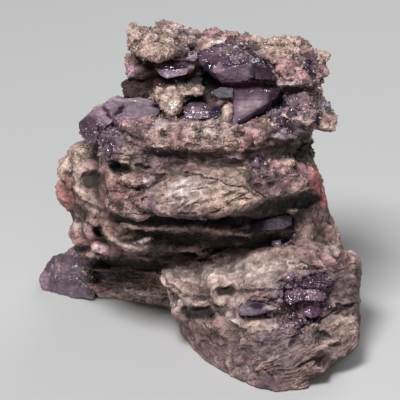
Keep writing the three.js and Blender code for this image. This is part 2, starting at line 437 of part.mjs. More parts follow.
// Each crystal is one or more flat-faced parts, given by their corners on the front.
const CRYSTALS = {
  crystal_top_center: [
    [
      [-0.6, 99.6, -18], [0, 102, -19.5], [3.6, 103.5, -20], [9.3, 105.2, -21.5], [13.2, 104.8, -21],
      [16, 102.6, -18.5], [18.6, 99.9, -15.5], [15.6, 98.3, -11.6], [12, 98.1, -11.2], [4.2, 95.8, -11.2],
      [0.9, 97.4, -14.4], [16.8, 94.6, -13.2], [12.6, 93, -13.6], [6.6, 92.8, -13.6], [4.5, 94, -14],
      [2, 96, -22], [16, 96, -22], [10, 94, -26], [10, 103, -28],
    ],
    [
      [15.6, 98.3, -12], [18.6, 99.9, -15.4], [21.6, 96.6, -14.6], [23.1, 94.2, -14.2],
      [22.5, 93.4, -14.6], [18.6, 93.8, -12.6], [16.6, 94.2, -12.6], [20, 98, -22], [22, 93.6, -22],
      [16, 93.4, -20],
    ],
  ],
  crystal_top_left: [
    [
      [-13.5, 97.2, -14.5], [-12, 99, -17], [-6, 100.2, -18], [-1.8, 98.8, -17], [-1.5, 97.2, -13.5],
      [-4.2, 95.2, -11.6], [-9.9, 94, -11.2], [-12, 95.2, -12.2], [-11.4, 97, -11.6],
      [-3.4, 97.3, -11.2], [-12, 95, -20], [-2, 96, -20],
    ],
    [
      [-8.4, 100.6, -15], [-6.6, 102.4, -18.5], [-0.9, 102.4, -19], [-0.6, 100.4, -16],
      [-1.4, 99.2, -14.2], [-4.5, 99.8, -13.6], [-8, 99.7, -13.8], [-8, 98.6, -20], [-1.4, 98.6, -21],
    ],
  ],
  crystal_left_shelf: [
    // The broad pale block.
    [
      [-22.8, 88.3, -20], [-17.7, 88.5, -20], [-15, 87.9, -19.5], [-12.2, 86.2, -18],
      [-11.7, 84.9, -16], [-12.9, 83.1, -12.5], [-18.6, 82.5, -10.5], [-22.8, 82.3, -9.6],
      [-22.6, 78, -11], [-14, 79, -14], [-14, 80, -22], [-23, 80, -22],
    ],
    // Its stepped left part.
    [
      [-27.6, 88, -20], [-24.6, 89.2, -21], [-22.4, 88.3, -20], [-22.5, 82.8, -10], [-24, 81.8, -8.8],
      [-26.4, 82, -9], [-29.4, 85.8, -15], [-24, 78, -12], [-28, 79, -16], [-26, 80, -22],
    ],
    [
      [-32, 85.6, -17], [-30, 86.6, -18.5], [-27.4, 87.2, -19], [-26.2, 81.2, -8.4],
      [-28.4, 79.6, -7.6], [-31.2, 81.2, -9], [-33.2, 83.8, -14], [-30, 77, -11], [-33, 78, -16],
      [-27, 80, -20],
    ],
    // Its left end.
    [
      [-33.3, 83.8, -14.6], [-31, 81.4, -9.4], [-30.8, 78.6, -8.6], [-30.9, 75.4, -9.2],
      [-32.4, 74.8, -10], [-34.2, 75.4, -11.6], [-35.7, 77.1, -13], [-36.5, 79.2, -14],
      [-36.5, 80.9, -15], [-34, 79, -10.4], [-31, 76, -20], [-34, 82, -20],
    ],
  ],
  crystal_mid: [
    [
      [-5.1, 85.2, -9], [-3, 87, -12.5], [0.6, 87.3, -13], [3.2, 85.8, -9.5], [3.3, 82.2, -6.4],
      [-1, 81.8, -5.8], [-4.2, 82, -6.2], [-4.8, 84.6, -7.4], [2.4, 84.4, -7], [-5, 81, -14],
      [3, 81, -14],
    ],
    [
      [3.1, 85.9, -9], [6.3, 85.6, -9], [6.3, 82.2, -6.6], [3.1, 82, -6.4], [3.2, 84.6, -6.6],
      [6.2, 84.4, -7], [3.1, 81.8, -14], [6.2, 81.8, -14], [6.2, 85.6, -14],
    ],
    [
      [-8.4, 82.4, -8.6], [-6, 83.4, -10], [-3.6, 83, -8.4], [-4, 80.9, -5.6], [-7, 80.8, -6],
      [-8.2, 81.4, -7], [-7, 80.6, -13], [-3.6, 80.6, -13],
    ],
  ],
  crystal_right_shelf: [
    // The flat plate behind.
    [
      [9, 91.8, -18.5], [13.5, 92.6, -19], [22.5, 93, -20], [24.4, 90.6, -17], [22.8, 88.2, -13],
      [21.3, 87.3, -11.4], [10.2, 87.3, -11.2], [8.6, 88.2, -12.5], [9, 86, -20], [23, 87, -20],
    ],
    // The bright three-cornered cleavage face and the dark edge under it.
    [
      [10, 87.6, -11.2], [21.4, 87.4, -11.2], [9.9, 80.4, -4.6], [22.2, 85.4, -12.4],
      [15, 81.8, -8.6], [10.8, 79.4, -6.4], [10, 80, -14], [22, 84, -18], [9.6, 86, -18],
    ],
    // The small block at its left.
    [
      [3.9, 90.6, -11], [6, 91.5, -12.5], [9.9, 91.2, -12.5], [9.9, 88.5, -9.4], [5.4, 88.2, -9.2],
      [4.2, 89.2, -9.8], [5, 87.6, -16], [10, 87.6, -16], [9.6, 90.6, -18],
    ],
  ],
  crystal_recess: [
    [
      [15, 50.2, -12.5], [17.6, 52.6, -16], [21, 53.8, -17], [25, 54, -17], [27.6, 52.8, -15.5],
      [27.6, 50.4, -12.4], [25, 48.8, -11], [18.6, 48.4, -10.6], [15.2, 48.8, -11.4],
      [20, 51.6, -11.8], [25.2, 52, -12.6], [17, 49, -20], [27, 49, -20],
    ],
  ],
  crystal_pocket_upper: [
    [
      [30.8, 33.4, -6.6], [31.4, 35, -8.4], [33.6, 36, -9.6], [37.5, 35.9, -10.2], [39.8, 34.4, -10],
      [39.6, 32.8, -8.2], [36.6, 31.6, -6.2], [31.2, 31.6, -5.2], [34, 34, -5.6], [38, 33.6, -7],
      [32, 31.6, -12], [39, 32, -13],
    ],
  ],
  crystal_pocket_middle: [
    [
      [23.4, 30.4, -6.5], [25.2, 32, -8], [29, 32, -8], [31, 30.4, -5.8], [31, 27.8, -3.8],
      [27, 26.2, -2.8], [24.2, 27.8, -4.4], [26.4, 30, -4.4], [30, 29.6, -4.2], [25, 26.6, -10],
      [31, 27, -10],
    ],
    [
      [30.8, 30, -6], [33.6, 31.4, -8], [36.8, 30.8, -8.6], [38, 29, -7.4], [37, 27.2, -5.6],
      [32.4, 27.4, -4.2], [30.8, 27.8, -4.4], [34, 30, -5], [30.8, 27.4, -11], [37, 27.6, -12],
    ],
  ],
  crystal_pocket_lower: [
    [
      [31.2, 24.8, -4.8], [33.4, 26.4, -7], [36, 25.4, -7.4], [35.8, 23.2, -5.8], [33.4, 22, -4.2],
      [31, 23.2, -3.8], [33.4, 24.6, -4.2], [32, 22.4, -10], [35.6, 23, -10],
    ],
  ],
  crystal_lower_lump: [
    [
      [10.8, 24.6, 1.8], [12.9, 26.4, 0.2], [16.5, 27, -0.4], [19.8, 26.5, -0.2], [23.4, 25.2, 0.4],
      [20.4, 24, 3.2], [16.8, 22.9, 4], [12.6, 22.9, 3.2], [15, 25.2, 4], [18.6, 25.2, 3.4],
      [12, 23, -5], [22, 24, -5],
    ],
  ],
  fluorite_foot: [
    [
      [-47.9, 35, -63], [-48.2, 32.6, -62.5], [-47.4, 30.6, -62], [-44, 29.8, -60], [-40, 28.8, -57.5],
      [-36, 28.4, -55.5], [-32, 27.6, -54], [-46.4, 38.2, -64], [-44.6, 40.2, -64],
      [-41.6, 41.4, -64], [-38, 41.6, -62], [-34.6, 40, -59], [-32.4, 36.6, -55.6],
      [-31.4, 32, -53.6], [-38, 36, -56.4], [-42, 34, -58.4], [-36, 31.6, -54.6], [-44, 34, -76],
      [-42, 41, -76], [-32, 43, -80], [-32, 32, -72],
    ],
  ],
};

const COLOURS = {
  rock: new THREE.Color(0x8a7468),
  fluorite: new THREE.Color(0x6b5680),
  fluoritePale: new THREE.Color(0x8f86a0),
};
const PALE_CRYSTALS = ["crystal_left_shelf", "fluorite_foot"];

const FLOOR_SPAN = 400;

function belowFloor() {
  const box = new THREE.BoxGeometry(FLOOR_SPAN, FLOOR_SPAN, FLOOR_SPAN);
  return solid(box.translate(0, 0, -FLOOR_SPAN / 2));
}

function largestBody(manifold) {
  const bodies = manifold.decompose();
  bodies.sort((a, b) => b.volume() - a.volume());
  return bodies[0];
}

// A crystal stops short of the crystals that are listed before it.
function crystalBody(parts, seatsBefore) {
  return largestBody(crystal(parts).subtract(wasm.Manifold.union([belowFloor(), ...seatsBefore])));
}

function matrixBody(seats) {
  const rock = wasm.Manifold.union([
    ...CORES, ...CAP, ...SHELF, ...BAND, ...WEDGE, ...LEFT_FLANK, ...RECESS, ...LOWER_BLOCK,
    ...FOOT, ...BACK,
  ]);
  const carved = rock.subtract(wasm.Manifold.union(PITS)).add(wasm.Manifold.union(CRUMBS));
  return largestBody(carved.subtract(wasm.Manifold.union(seats)).subtract(belowFloor()));
}

function part(name, manifold, material) {
  const { vertProperties, triVerts } = manifold.getMesh();
  const geometry = new THREE.BufferGeometry();
  geometry.setAttribute("position", new THREE.BufferAttribute(new Float32Array(vertProperties), 3));
  geometry.setIndex(new THREE.BufferAttribute(new Uint32Array(triVerts), 1));
  geometry.computeVertexNormals();
  const mesh = new THREE.Mesh(geometry, material);
  mesh.name = name;
  return mesh;
}

function rockMaterial() {
  return new THREE.MeshStandardMaterial({
    color: COLOURS.rock,
    roughness: 0.9,
    metalness: 0,
    flatShading: true,
  });
}

function fluoriteMaterial(name) {
  return new THREE.MeshStandardMaterial({
    color: PALE_CRYSTALS.includes(name) ? COLOURS.fluoritePale : COLOURS.fluorite,
    roughness: 0.18,
    metalness: 0,
    flatShading: true,
  });
}

const specimen = new THREE.Group();
specimen.name = "fluorite_specimen";

const seats = Object.values(CRYSTALS).map((parts) => crystal(parts, SEAT_GAP));
specimen.add(part("matrix", matrixBody(seats), rockMaterial()));
Object.entries(CRYSTALS).forEach(([name, parts], index) => {
  const body = crystalBody(parts, seats.slice(0, index));
  specimen.add(part(name, body, fluoriteMaterial(name)));
});

export default specimen;
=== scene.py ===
"""A fluorite specimen: purple crystals in a broken block of layered, sugar-coated rock.

Shapes are worked out in millimetres and made in metres. A place on the specimen's broken front is
given as x to the right, h up the front and d out of it, as seen square to the front's lean.
"""

import math

import bmesh
import bpy
import numpy as np
from mathutils import Matrix, Vector
from mathutils.bvhtree import BVHTree


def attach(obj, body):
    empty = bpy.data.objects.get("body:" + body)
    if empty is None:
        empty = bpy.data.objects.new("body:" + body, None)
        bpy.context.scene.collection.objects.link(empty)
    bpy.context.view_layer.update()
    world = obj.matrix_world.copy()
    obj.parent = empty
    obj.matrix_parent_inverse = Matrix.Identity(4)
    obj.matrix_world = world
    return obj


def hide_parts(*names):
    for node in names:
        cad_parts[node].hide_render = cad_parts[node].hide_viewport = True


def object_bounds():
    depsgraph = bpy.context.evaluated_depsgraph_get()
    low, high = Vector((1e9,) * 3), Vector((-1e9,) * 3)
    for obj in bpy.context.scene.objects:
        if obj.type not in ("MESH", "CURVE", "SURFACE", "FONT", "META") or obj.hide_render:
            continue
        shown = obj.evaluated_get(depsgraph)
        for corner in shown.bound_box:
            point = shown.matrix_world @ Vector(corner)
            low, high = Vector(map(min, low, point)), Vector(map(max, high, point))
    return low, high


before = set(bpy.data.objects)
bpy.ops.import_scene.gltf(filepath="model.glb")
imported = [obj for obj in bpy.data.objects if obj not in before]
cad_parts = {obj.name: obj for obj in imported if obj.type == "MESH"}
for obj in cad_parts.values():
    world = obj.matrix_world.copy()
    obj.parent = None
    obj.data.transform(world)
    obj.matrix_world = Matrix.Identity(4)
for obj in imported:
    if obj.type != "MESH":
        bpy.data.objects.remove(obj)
cad_low, cad_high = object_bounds()

MM = 0.001

# The front of the specimen leans back, as in the CAD model. It is laid out as an eye sees it that looks
# square at it from this distance, at this height.
FRONT_LEAN = math.radians(25)
SIGHT_DISTANCE = 1000.0
SIGHT_HEIGHT = 57.6

# The specimen's own origin, and the front's three directions.
BASE_POINT = np.array([8.0, 48.0, 0.0])
ACROSS = np.array([1.0, 0.0, 0.0])
UP_FRONT = np.array([0.0, math.sin(FRONT_LEAN), math.cos(FRONT_LEAN)])
OUT_OF_FRONT = np.array([0.0, -math.cos(FRONT_LEAN), math.sin(FRONT_LEAN)])

# The smallest step in the skin of the rock and of a crystal.
ROCK_STEP = 0.42
CRYSTAL_STEP = 0.24

# How many triangles the rock's back keeps at its first thinning, and the whole rock at its second.
BACK_TRIANGLES = 76000
ROCK_TRIANGLES = 194000

# There the back is what looks out of the front by less than this.
BACK_LIMIT = -0.15

# The lowest and the highest places of loose flakes, of quartz grains and of chips. The last height is for
# the chips on the back alone.
FLAKE_FLOOR = 1.2
GRAIN_FLOOR = 1.0
GRAIN_CEILING = cad_high[2] / MM + 0.8
CHIP_FLOOR = 2.0
CHIP_CEILING = 78.0

# How far a grain's middle is off what the grain sits on.
GRAIN_LIFT = 0.05


def place(points):
    """Places on the front, as points of the specimen."""
    x, h, d = np.asarray(points, float).reshape(-1, 3).T
    spread = 1 - d / SIGHT_DISTANCE
    up = SIGHT_HEIGHT + (h - SIGHT_HEIGHT) * spread
    return np.outer(x * spread, ACROSS) + np.outer(up, UP_FRONT) + np.outer(d, OUT_OF_FRONT) - BASE_POINT


def front(points):
    """Points of the specimen, as x, h and d of the front."""
    moved = points + BASE_POINT
    d = moved @ OUT_OF_FRONT
    spread = 1 - d / SIGHT_DISTANCE
    h = SIGHT_HEIGHT + (moved @ UP_FRONT - SIGHT_HEIGHT) / spread
    return np.stack([moved[:, 0] / spread, h, d], 1)


def smooth(low, high, value):
    """From 0 at low to 1 at high, with soft ends."""
    t = np.clip((value - low) / (high - low), 0, 1)
    return t * t * (3 - 2 * t)


# Colours, as linear light

WHITE = (0.58, 0.47, 0.45)
CREAM = (0.42, 0.305, 0.26)
OCHRE = (0.33, 0.22, 0.16)
TAN = (0.27, 0.18, 0.158)
STONE = (0.225, 0.168, 0.16)
PINK = (0.36, 0.215, 0.215)
ROSE = (0.24, 0.125, 0.12)
MAUVE = (0.15, 0.10, 0.118)
LILAC = (0.33, 0.25, 0.30)
PURPLE = (0.085, 0.045, 0.072)
SLATE = (0.20, 0.19, 0.22)
UMBER = (0.10, 0.062, 0.055)
MAROON = (0.042, 0.019, 0.02)
# The two darkest colours are painted shade: in hollows, pits, cracks and recesses and under ledges.
SHADE_GREEN = (0.055, 0.048, 0.038)
SHADE_BLACK = (0.03, 0.023, 0.022)
SALMON = (0.42, 0.14, 0.135)
HEATHER = (0.36, 0.215, 0.275)
PLUM = (0.16, 0.09, 0.135)

# The darkest and the lightest that anything is painted.
DARKEST = 0.005
LIGHTEST = 0.85

# The rock's own lumps. Each row: x, h, across, up, slope of its right end in degrees, how far it
# stands out of the rock around it, its colour and how strong that is.
KNOBS = (
    # The cap, and the ends of the cavity under it.
    (-20.7, 108.3, 3.2, 2.6, 20, 0.7, CREAM, 0.8),
    (-8, 109, 6.5, 2.2, 4, 0.4, WHITE, 0.6),
    (-3.6, 107.8, 2.6, 1.8, 0, 0.4, LILAC, 0.7),
    (-2.7, 106.6, 2, 0.9, 0, 0.5, WHITE, 0.9),
    (-19, 104.5, 5, 4, -20, 0.5, CREAM, 0.3),
    (-14.5, 105.5, 5, 4, -20, 0.6, CREAM, 0.3),
    (-10, 104.6, 5, 3.6, -10, 0.5, CREAM, 0.4),
    (-16, 101.5, 5, 3, -20, 0.5, TAN, 0.3),
    (-5.5, 105, 5, 3, 0, 0.5, TAN, 0.3),
    (3, 107.4, 5, 2.2, 0, 0.4, PINK, 0.8),
    (9, 106.6, 5, 2, -10, 0.4, PINK, 0.8),
    # Painted highlight: a white lump at the large crystal's top edge stands for its glint.
    (4.8, 104.9, 6, 2, 8, 0.6, WHITE, 0.9),
    (16, 104.8, 6, 4, 0, 0.5, CREAM, 0.6),
    (21.5, 103.6, 6, 4.4, -5, 0.5, CREAM, 0.6),
    (27, 104, 6.6, 4.4, -10, 0.5, CREAM, 0.6),
    (31.6, 101.8, 4.6, 4, -20, 0.5, ROSE, 0.4),
    (24.5, 100, 6, 4, 0, 0.5, TAN, 0.4),
    (26, 97.4, 6.4, 4.6, 0, 0.6, PINK, 0.6),
    (30.4, 95.8, 4.6, 3.8, 0, 0.5, PINK, 0.6),
    (37, 100.6, 4.2, 3.2, -10, 0.4, CREAM, 0.8),
    (37, 96, 4.6, 4.4, 0, 0.4, PINK, 0.7),
    (34.6, 92.8, 3.8, 4.2, 0, 0.4, MAUVE, 0.7),
    (-21, 96.4, 3.4, 3.6, 0, 0.7, HEATHER, 0.95),
    (-17.2, 96.6, 4.6, 3.2, 0, 0.5, MAUVE, 0.7),
    # Painted shade on the lump in the dark cavity.
    (-19, 91, 7, 3, 10, 0.1, SHADE_BLACK, 0.7),
    # The crumbs in the dark cavity.
    (-12, 90.2, 3, 2.4, 0, 0.6, CREAM, 0.8),
    (-8.6, 90.6, 3, 2.2, 0, 0.6, CREAM, 0.8),
    (-5.4, 91, 2.8, 1.8, 0, 0.8, CREAM, 0.8),
    (-1.6, 90.6, 3, 2, 0, 0.6, CREAM, 0.8),
    (-13.6, 88.4, 3.2, 2.2, 0, 0.6, CREAM, 0.8),
    (-10.4, 87.8, 3, 2.4, 0, 0.6, CREAM, 0.8),
    (-8.4, 86, 2.8, 2.6, 0, 0.6, WHITE, 0.6),
    (-8.8, 83.6, 3, 2.2, 0, 0.6, CREAM, 0.8),
    # Between and beside the shelf's crystals.
    (8.1, 84, 3.4, 4.4, 0, 0.6, CREAM, 0.8),
    (31.2, 85.6, 4, 2.4, -10, 0.5, PINK, 0.7),
    (23.4, 83.4, 4.6, 2.6, 0, 0.5, SLATE, 0.7),
    (37.8, 85.5, 2.6, 2.6, 0, 0.7, SLATE, 0.8),
    (38.2, 81.4, 4.2, 3.6, 0, 0.4, PINK, 0.6),
    (21.2, 80.4, 5.6, 2.8, 0, 0.5, TAN, 0.7),
    (22.6, 80.4, 2.8, 2, 0, 0.8, WHITE, 0.8),
    (14.4, 78.3, 5, 2.4, 0, 0.7, PINK, 0.8),
    (27, 89, 4, 3, 0, 0.4, MAUVE, 0.5),
    # The shelf's sugary edge, from the top row down.
    (-21, 80.2, 4.5, 2.4, -10, 0.5, PINK, 0.5),
    (-16.5, 81.4, 4, 2.2, 0, 0.5, PINK, 0.5),
    (-12, 80.8, 4, 2.4, 0, 0.5, WHITE, 0.4),
    (-7, 79.9, 4.4, 2.2, 0, 0.5, PINK, 0.5),
    (-1.6, 79.8, 4.4, 2.2, 0, 0.6, CREAM, 0.5),
    (3.4, 80.2, 4.4, 2.4, 0, 0.5, CREAM, 0.5),
    (7.5, 79.6, 3.6, 2.2, 0, 0.5, CREAM, 0.5),
    (-13.5, 78, 3.6, 2.4, 0, 0.5, PINK, 0.5),
    (-7.5, 77, 4.4, 2.6, 0, 0.6, PINK, 0.5),
    (-2.6, 77.4, 4.6, 2.4, 0, 0.6, CREAM, 0.4),
    (2.4, 77.2, 4.6, 2.4, 0, 0.6, CREAM, 0.5),
    (7.2, 77, 4, 2.4, 0, 0.5, CREAM, 0.5),
    (17, 77.4, 5, 2.6, 0, 0.5, PINK, 0.4),
    (-8.2, 75.4, 4.2, 2.2, 0, 0.5, ROSE, 0.4),
    (-3.6, 74.9, 4, 2, 0, 0.5, PINK, 0.4),
    (1.5, 74.6, 4, 2, 0, 0.5, TAN, 0.4),
    (6.4, 74.4, 4.6, 2, 0, 0.5, CREAM, 0.4),
    (11.4, 74.8, 4, 2, 0, 0.4, TAN, 0.4),
    (18.7, 74.3, 6.6, 2.4, 0, 0.6, PINK, 0.6),
    # The right of the band, and its crumbs.
    (24, 68.6, 4.4, 3, 0, 0.6, PINK, 0.8),
    (27, 69.4, 3, 2.4, 10, 0.6, CREAM, 0.8),
    (22, 67, 3, 2, 0, 0.5, ROSE, 0.6),
    (-2.2, 67.9, 4.6, 1.6, 0, 0.6, PINK, 0.8),
    (29.2, 66.6, 7, 4.6, 0, 0.4, ROSE, 0.4),
    (32.4, 64.8, 4.6, 4, 0, 0.4, PINK, 0.5),
    (28, 62.6, 5.6, 3, 5, 0.4, ROSE, 0.4),
    # The pebbly lumps left of the wedge.
    (-21.6, 64.4, 5.2, 3, 10, 0.6, CREAM, 0.6),
    (-16.4, 63, 2, 1.6, 0, 0.6, WHITE, 0.9),
    (-25.4, 62.4, 4, 3, 0, 0.5, ROSE, 0.5),
    (-24, 58.6, 4.6, 3, -10, 0.6, ROSE, 0.5),
    (-20.2, 59.2, 4, 2.6, 0, 0.6, PINK, 0.4),
    (-25.6, 55.2, 4.4, 3, 0, 0.5, ROSE, 0.6),
    (-21, 55.4, 4, 2.6, 0, 0.5, PINK, 0.5),
    (-17.2, 60.2, 3, 2.2, 0, 0.5, ROSE, 0.4),
    # Painted shade on the lowest lump, beside the recess under the wedge.
    (-23.5, 52.2, 5, 2, -5, 0.5, SHADE_GREEN, 0.4),
    # The soft left flank.
    (-38.6, 68, 6, 5, 0, 0.4, CREAM, 0.8),
    (-35.4, 71, 6, 5, 0, 0.4, CREAM, 0.7),
    (-31.5, 67, 6, 6, 0, 0.5, PINK, 0.6),
    (-41, 62, 5, 3.2, 0, 0.4, CREAM, 0.4),
    (-41, 58.4, 4.4, 3, 0, 0.4, ROSE, 0.7),
    (-34.4, 59, 10.5, 2.6, -34, 0.5, CREAM, 0.6),
    (-35.4, 48.6, 7, 6, 0, 0.5, PINK, 0.6),
    (-36, 49.6, 4.6, 2.6, 0, 0.7, WHITE, 0.7),
    (-27, 48.6, 5.4, 5, 0, 0.5, ROSE, 0.4),
    (-29, 43, 7.4, 3.6, -10, 1, PINK, 0.7),
    (-30, 43.4, 4, 1.8, -10, 1.2, WHITE, 0.6),
    (-37, 42.6, 6.4, 3, 0, 0.4, MAUVE, 0.7),
    # The right flank.
    (38, 48.6, 6, 4, -30, 0.5, PINK, 0.4),
    (35.5, 52.4, 4.6, 3.4, -20, 0.5, ROSE, 0.4),
    # The lower block's hump and its right end.
    (39.6, 42, 5.4, 4, -20, 0.5, WHITE, 0.4),
    (38, 39.4, 8, 3.6, -8, 0.5, PINK, 0.6),
    (32, 41.2, 6, 3, -8, 0.4, PINK, 0.3),
    (43, 33.6, 8, 4, -10, 0.5, MAUVE, 0.5),
    (42.4, 29.4, 8, 4, 15, 0.5, UMBER, 0.3),
    (42, 19.8, 10, 6, 12, 0.6, CREAM, 0.5),
    # The lower block's broken face.
    (7.2, 27.9, 4.8, 2.4, 0, 0.5, CREAM, 0.6),
    (0.8, 26.5, 7.4, 1.6, 5, 0.5, CREAM, 0.6),
    (8.6, 23.4, 1.8, 3.6, 0, 0.5, WHITE, 0.4),
    (11, 20.8, 5, 1.6, -30, 0.7, WHITE, 0.4),
    (15.6, 20.2, 5.6, 1.6, 12, 0.7, CREAM, 0.5),
    (27.6, 21.6, 5.6, 2.2, 10, 0.8, ROSE, 0.6),
    (26.4, 19.6, 4, 1.8, 0, 0.7, WHITE, 0.4),
    (30, 22.8, 3, 1.6, 0, 0.9, PINK, 0.6),
    (21.8, 19.4, 4.4, 2.6, 10, 0.6, WHITE, 0.4),
    (19.6, 16.4, 5.6, 3, 0, 0.5, MAUVE, 0.8),
    (23.2, 12.6, 4.4, 2.6, 10, 0.4, CREAM, 0.5),
    (33.8, 19.8, 4, 2.2, 10, 0.7, CREAM, 0.8),
    (5, 21.6, 5, 3.6, -40, 0.6, ROSE, 0.4),
    (8.4, 17.4, 5, 3.6, -40, 0.6, TAN, 0.4),
    (13, 9.6, 6, 3.4, 0, 0.5, ROSE, 0.4),
    (14, 15, 5, 3, 0, 0.5, TAN, 0.4),
    (27, 31.8, 2, 2.4, 0, 0.5, WHITE, 0.8),
    # The rock that grows over the foot's crystals, and the slab's broken right end.
    (-32, 38.4, 6, 4, 0, 2.4, MAUVE, 0.8),
    (-31.4, 34.6, 5.4, 4, 0, 2.8, MAUVE, 0.7),
    (-32.4, 31.2, 6, 3.4, -10, 2.8, ROSE, 0.6),
    (-28.4, 30.4, 6, 3, -6, 1.2, ROSE, 0.5),
    (-27.4, 33.6, 5, 2.4, 0, 1, MAUVE, 0.7),
    (17.6, 66, 6, 4.4, 0, 1.6, MAUVE, 0.6),
    (18.4, 62.6, 6, 4.4, 0, 1.8, ROSE, 0.6),
    (21.6, 60.4, 5, 3.4, -20, 1.2, MAUVE, 0.6),
    (22.4, 65, 4.4, 4, 0, 1, MAUVE, 0.5),
    (25.4, 62.8, 4.4, 2.8, 10, 1, ROSE, 0.6),
    (29.4, 62, 4.4, 2.6, 10, 1, TAN, 0.6),
    (32.8, 62, 4, 3, 10, 0.8, ROSE, 0.6),
    (25.2, 66, 3.6, 2.6, 0, 0.9, PINK, 0.6),
    # The dip between the cap's two halves.
    (-2.1, 106.7, 7, 4.2, -12, 0.3, CREAM, 0.4),
    (1.6, 105.4, 4.6, 3, -8, 0.3, PINK, 0.6),
)

# Thin layers that stand out level, lit on top and dark below, in the same columns.
SLABS = (
    (27, 92.4, 8, 1.2, 8, 0.6, WHITE, 0.6),
    (28.5, 94.2, 7, 1, 8, 0.5, PINK, 0.8),
    (29.8, 81.6, 11.5, 1.6, -15, 1, CREAM, 0.8),
    (24.6, 76.8, 6.4, 2, 5, 0.7, LILAC, 0.6),
    (-20, 77.7, 9.6, 2.4, -29, 1.2, UMBER, 0.9),
    (-19.4, 75, 6.6, 1, -24, 0.8, PINK, 0.8),
    (-11.5, 73.7, 7, 0.8, 5, 0.7, CREAM, 0.8),
    (16.5, 72.9, 3.4, 0.9, 5, 0.9, CREAM, 0.9),
    (-22.8, 68.9, 3.6, 1.1, 0, 0.8, CREAM, 0.8),
    (10.4, 70.4, 4.2, 1.4, 5, 1, LILAC, 0.8),
    (4.5, 68.5, 6, 1, 0, 0.7, SLATE, 0.7),
    (-8, 69.4, 8, 1, -3, 0.6, ROSE, 0.5),
    (15, 68.6, 8, 1.1, 3, 0.6, ROSE, 0.5),
    (-14, 65.8, 7, 1.2, 4, 0.6, ROSE, 0.5),
    (27.8, 54.5, 3.6, 1.4, -10, 1, TAN, 0.8),
    (27.4, 59.8, 13, 1, 12, 1.2, CREAM, 0.9),
    (-26.4, 46.2, 6.6, 1.8, -40, 0.9, CREAM, 0.8),
    (-21.4, 43.4, 5, 1.6, -12, 0.9, CREAM, 0.8),
    (-21.4, 46.8, 3, 1, 0, 0.8, CREAM, 0.8),
    (-17.2, 45.4, 6, 1.2, 14, 0.9, WHITE, 0.7),
    (-13.6, 49, 22, 1.2, -1, 0.8, TAN, 0.5),
    (8, 47.8, 16, 1.1, -6, 0.8, TAN, 0.5),
    (22, 48.6, 9, 1, 14, 0.7, TAN, 0.5),
    (1.2, 41, 5.6, 1.5, -6, 1.4, TAN, 0.6),
    (36.6, 14.2, 12, 1.5, 12, 0.9, CREAM, 0.6),
    (34, 12, 10, 1.1, 14, 0.7, TAN, 0.5),
    (30, 9.4, 12, 1.1, 16, 0.8, TAN, 0.5),
    (24, 10.4, 9, 1.2, 14, 0.7, CREAM, 0.5),
    (32, 7.8, 6, 1.1, 20, 0.5, TAN, 0.4),
    (20, 7, 8, 1.1, 10, 0.7, ROSE, 0.5),
    (-29.3, 32, 4.6, 1.6, 0, 0.9, TAN, 0.6),
    (-23.6, 32.4, 4, 1.8, 0, 0.9, ROSE, 0.5),
    (-15, 29.4, 12, 2.2, -6, 1, CREAM, 0.7),
    (-23, 28.8, 7, 1.2, -2, 0.9, CREAM, 0.7),
    (-12, 27.6, 9, 1.2, -12, 0.7, TAN, 0.5),
    (-18.6, 40, 8.6, 1, -6, 1.2, TAN, 0.6),
    # Painted shade on the low layer in the shadow band above the strata.
    (-26.4, 36.2, 13, 0.8, -1, 1, SHADE_GREEN, 0.8),
)

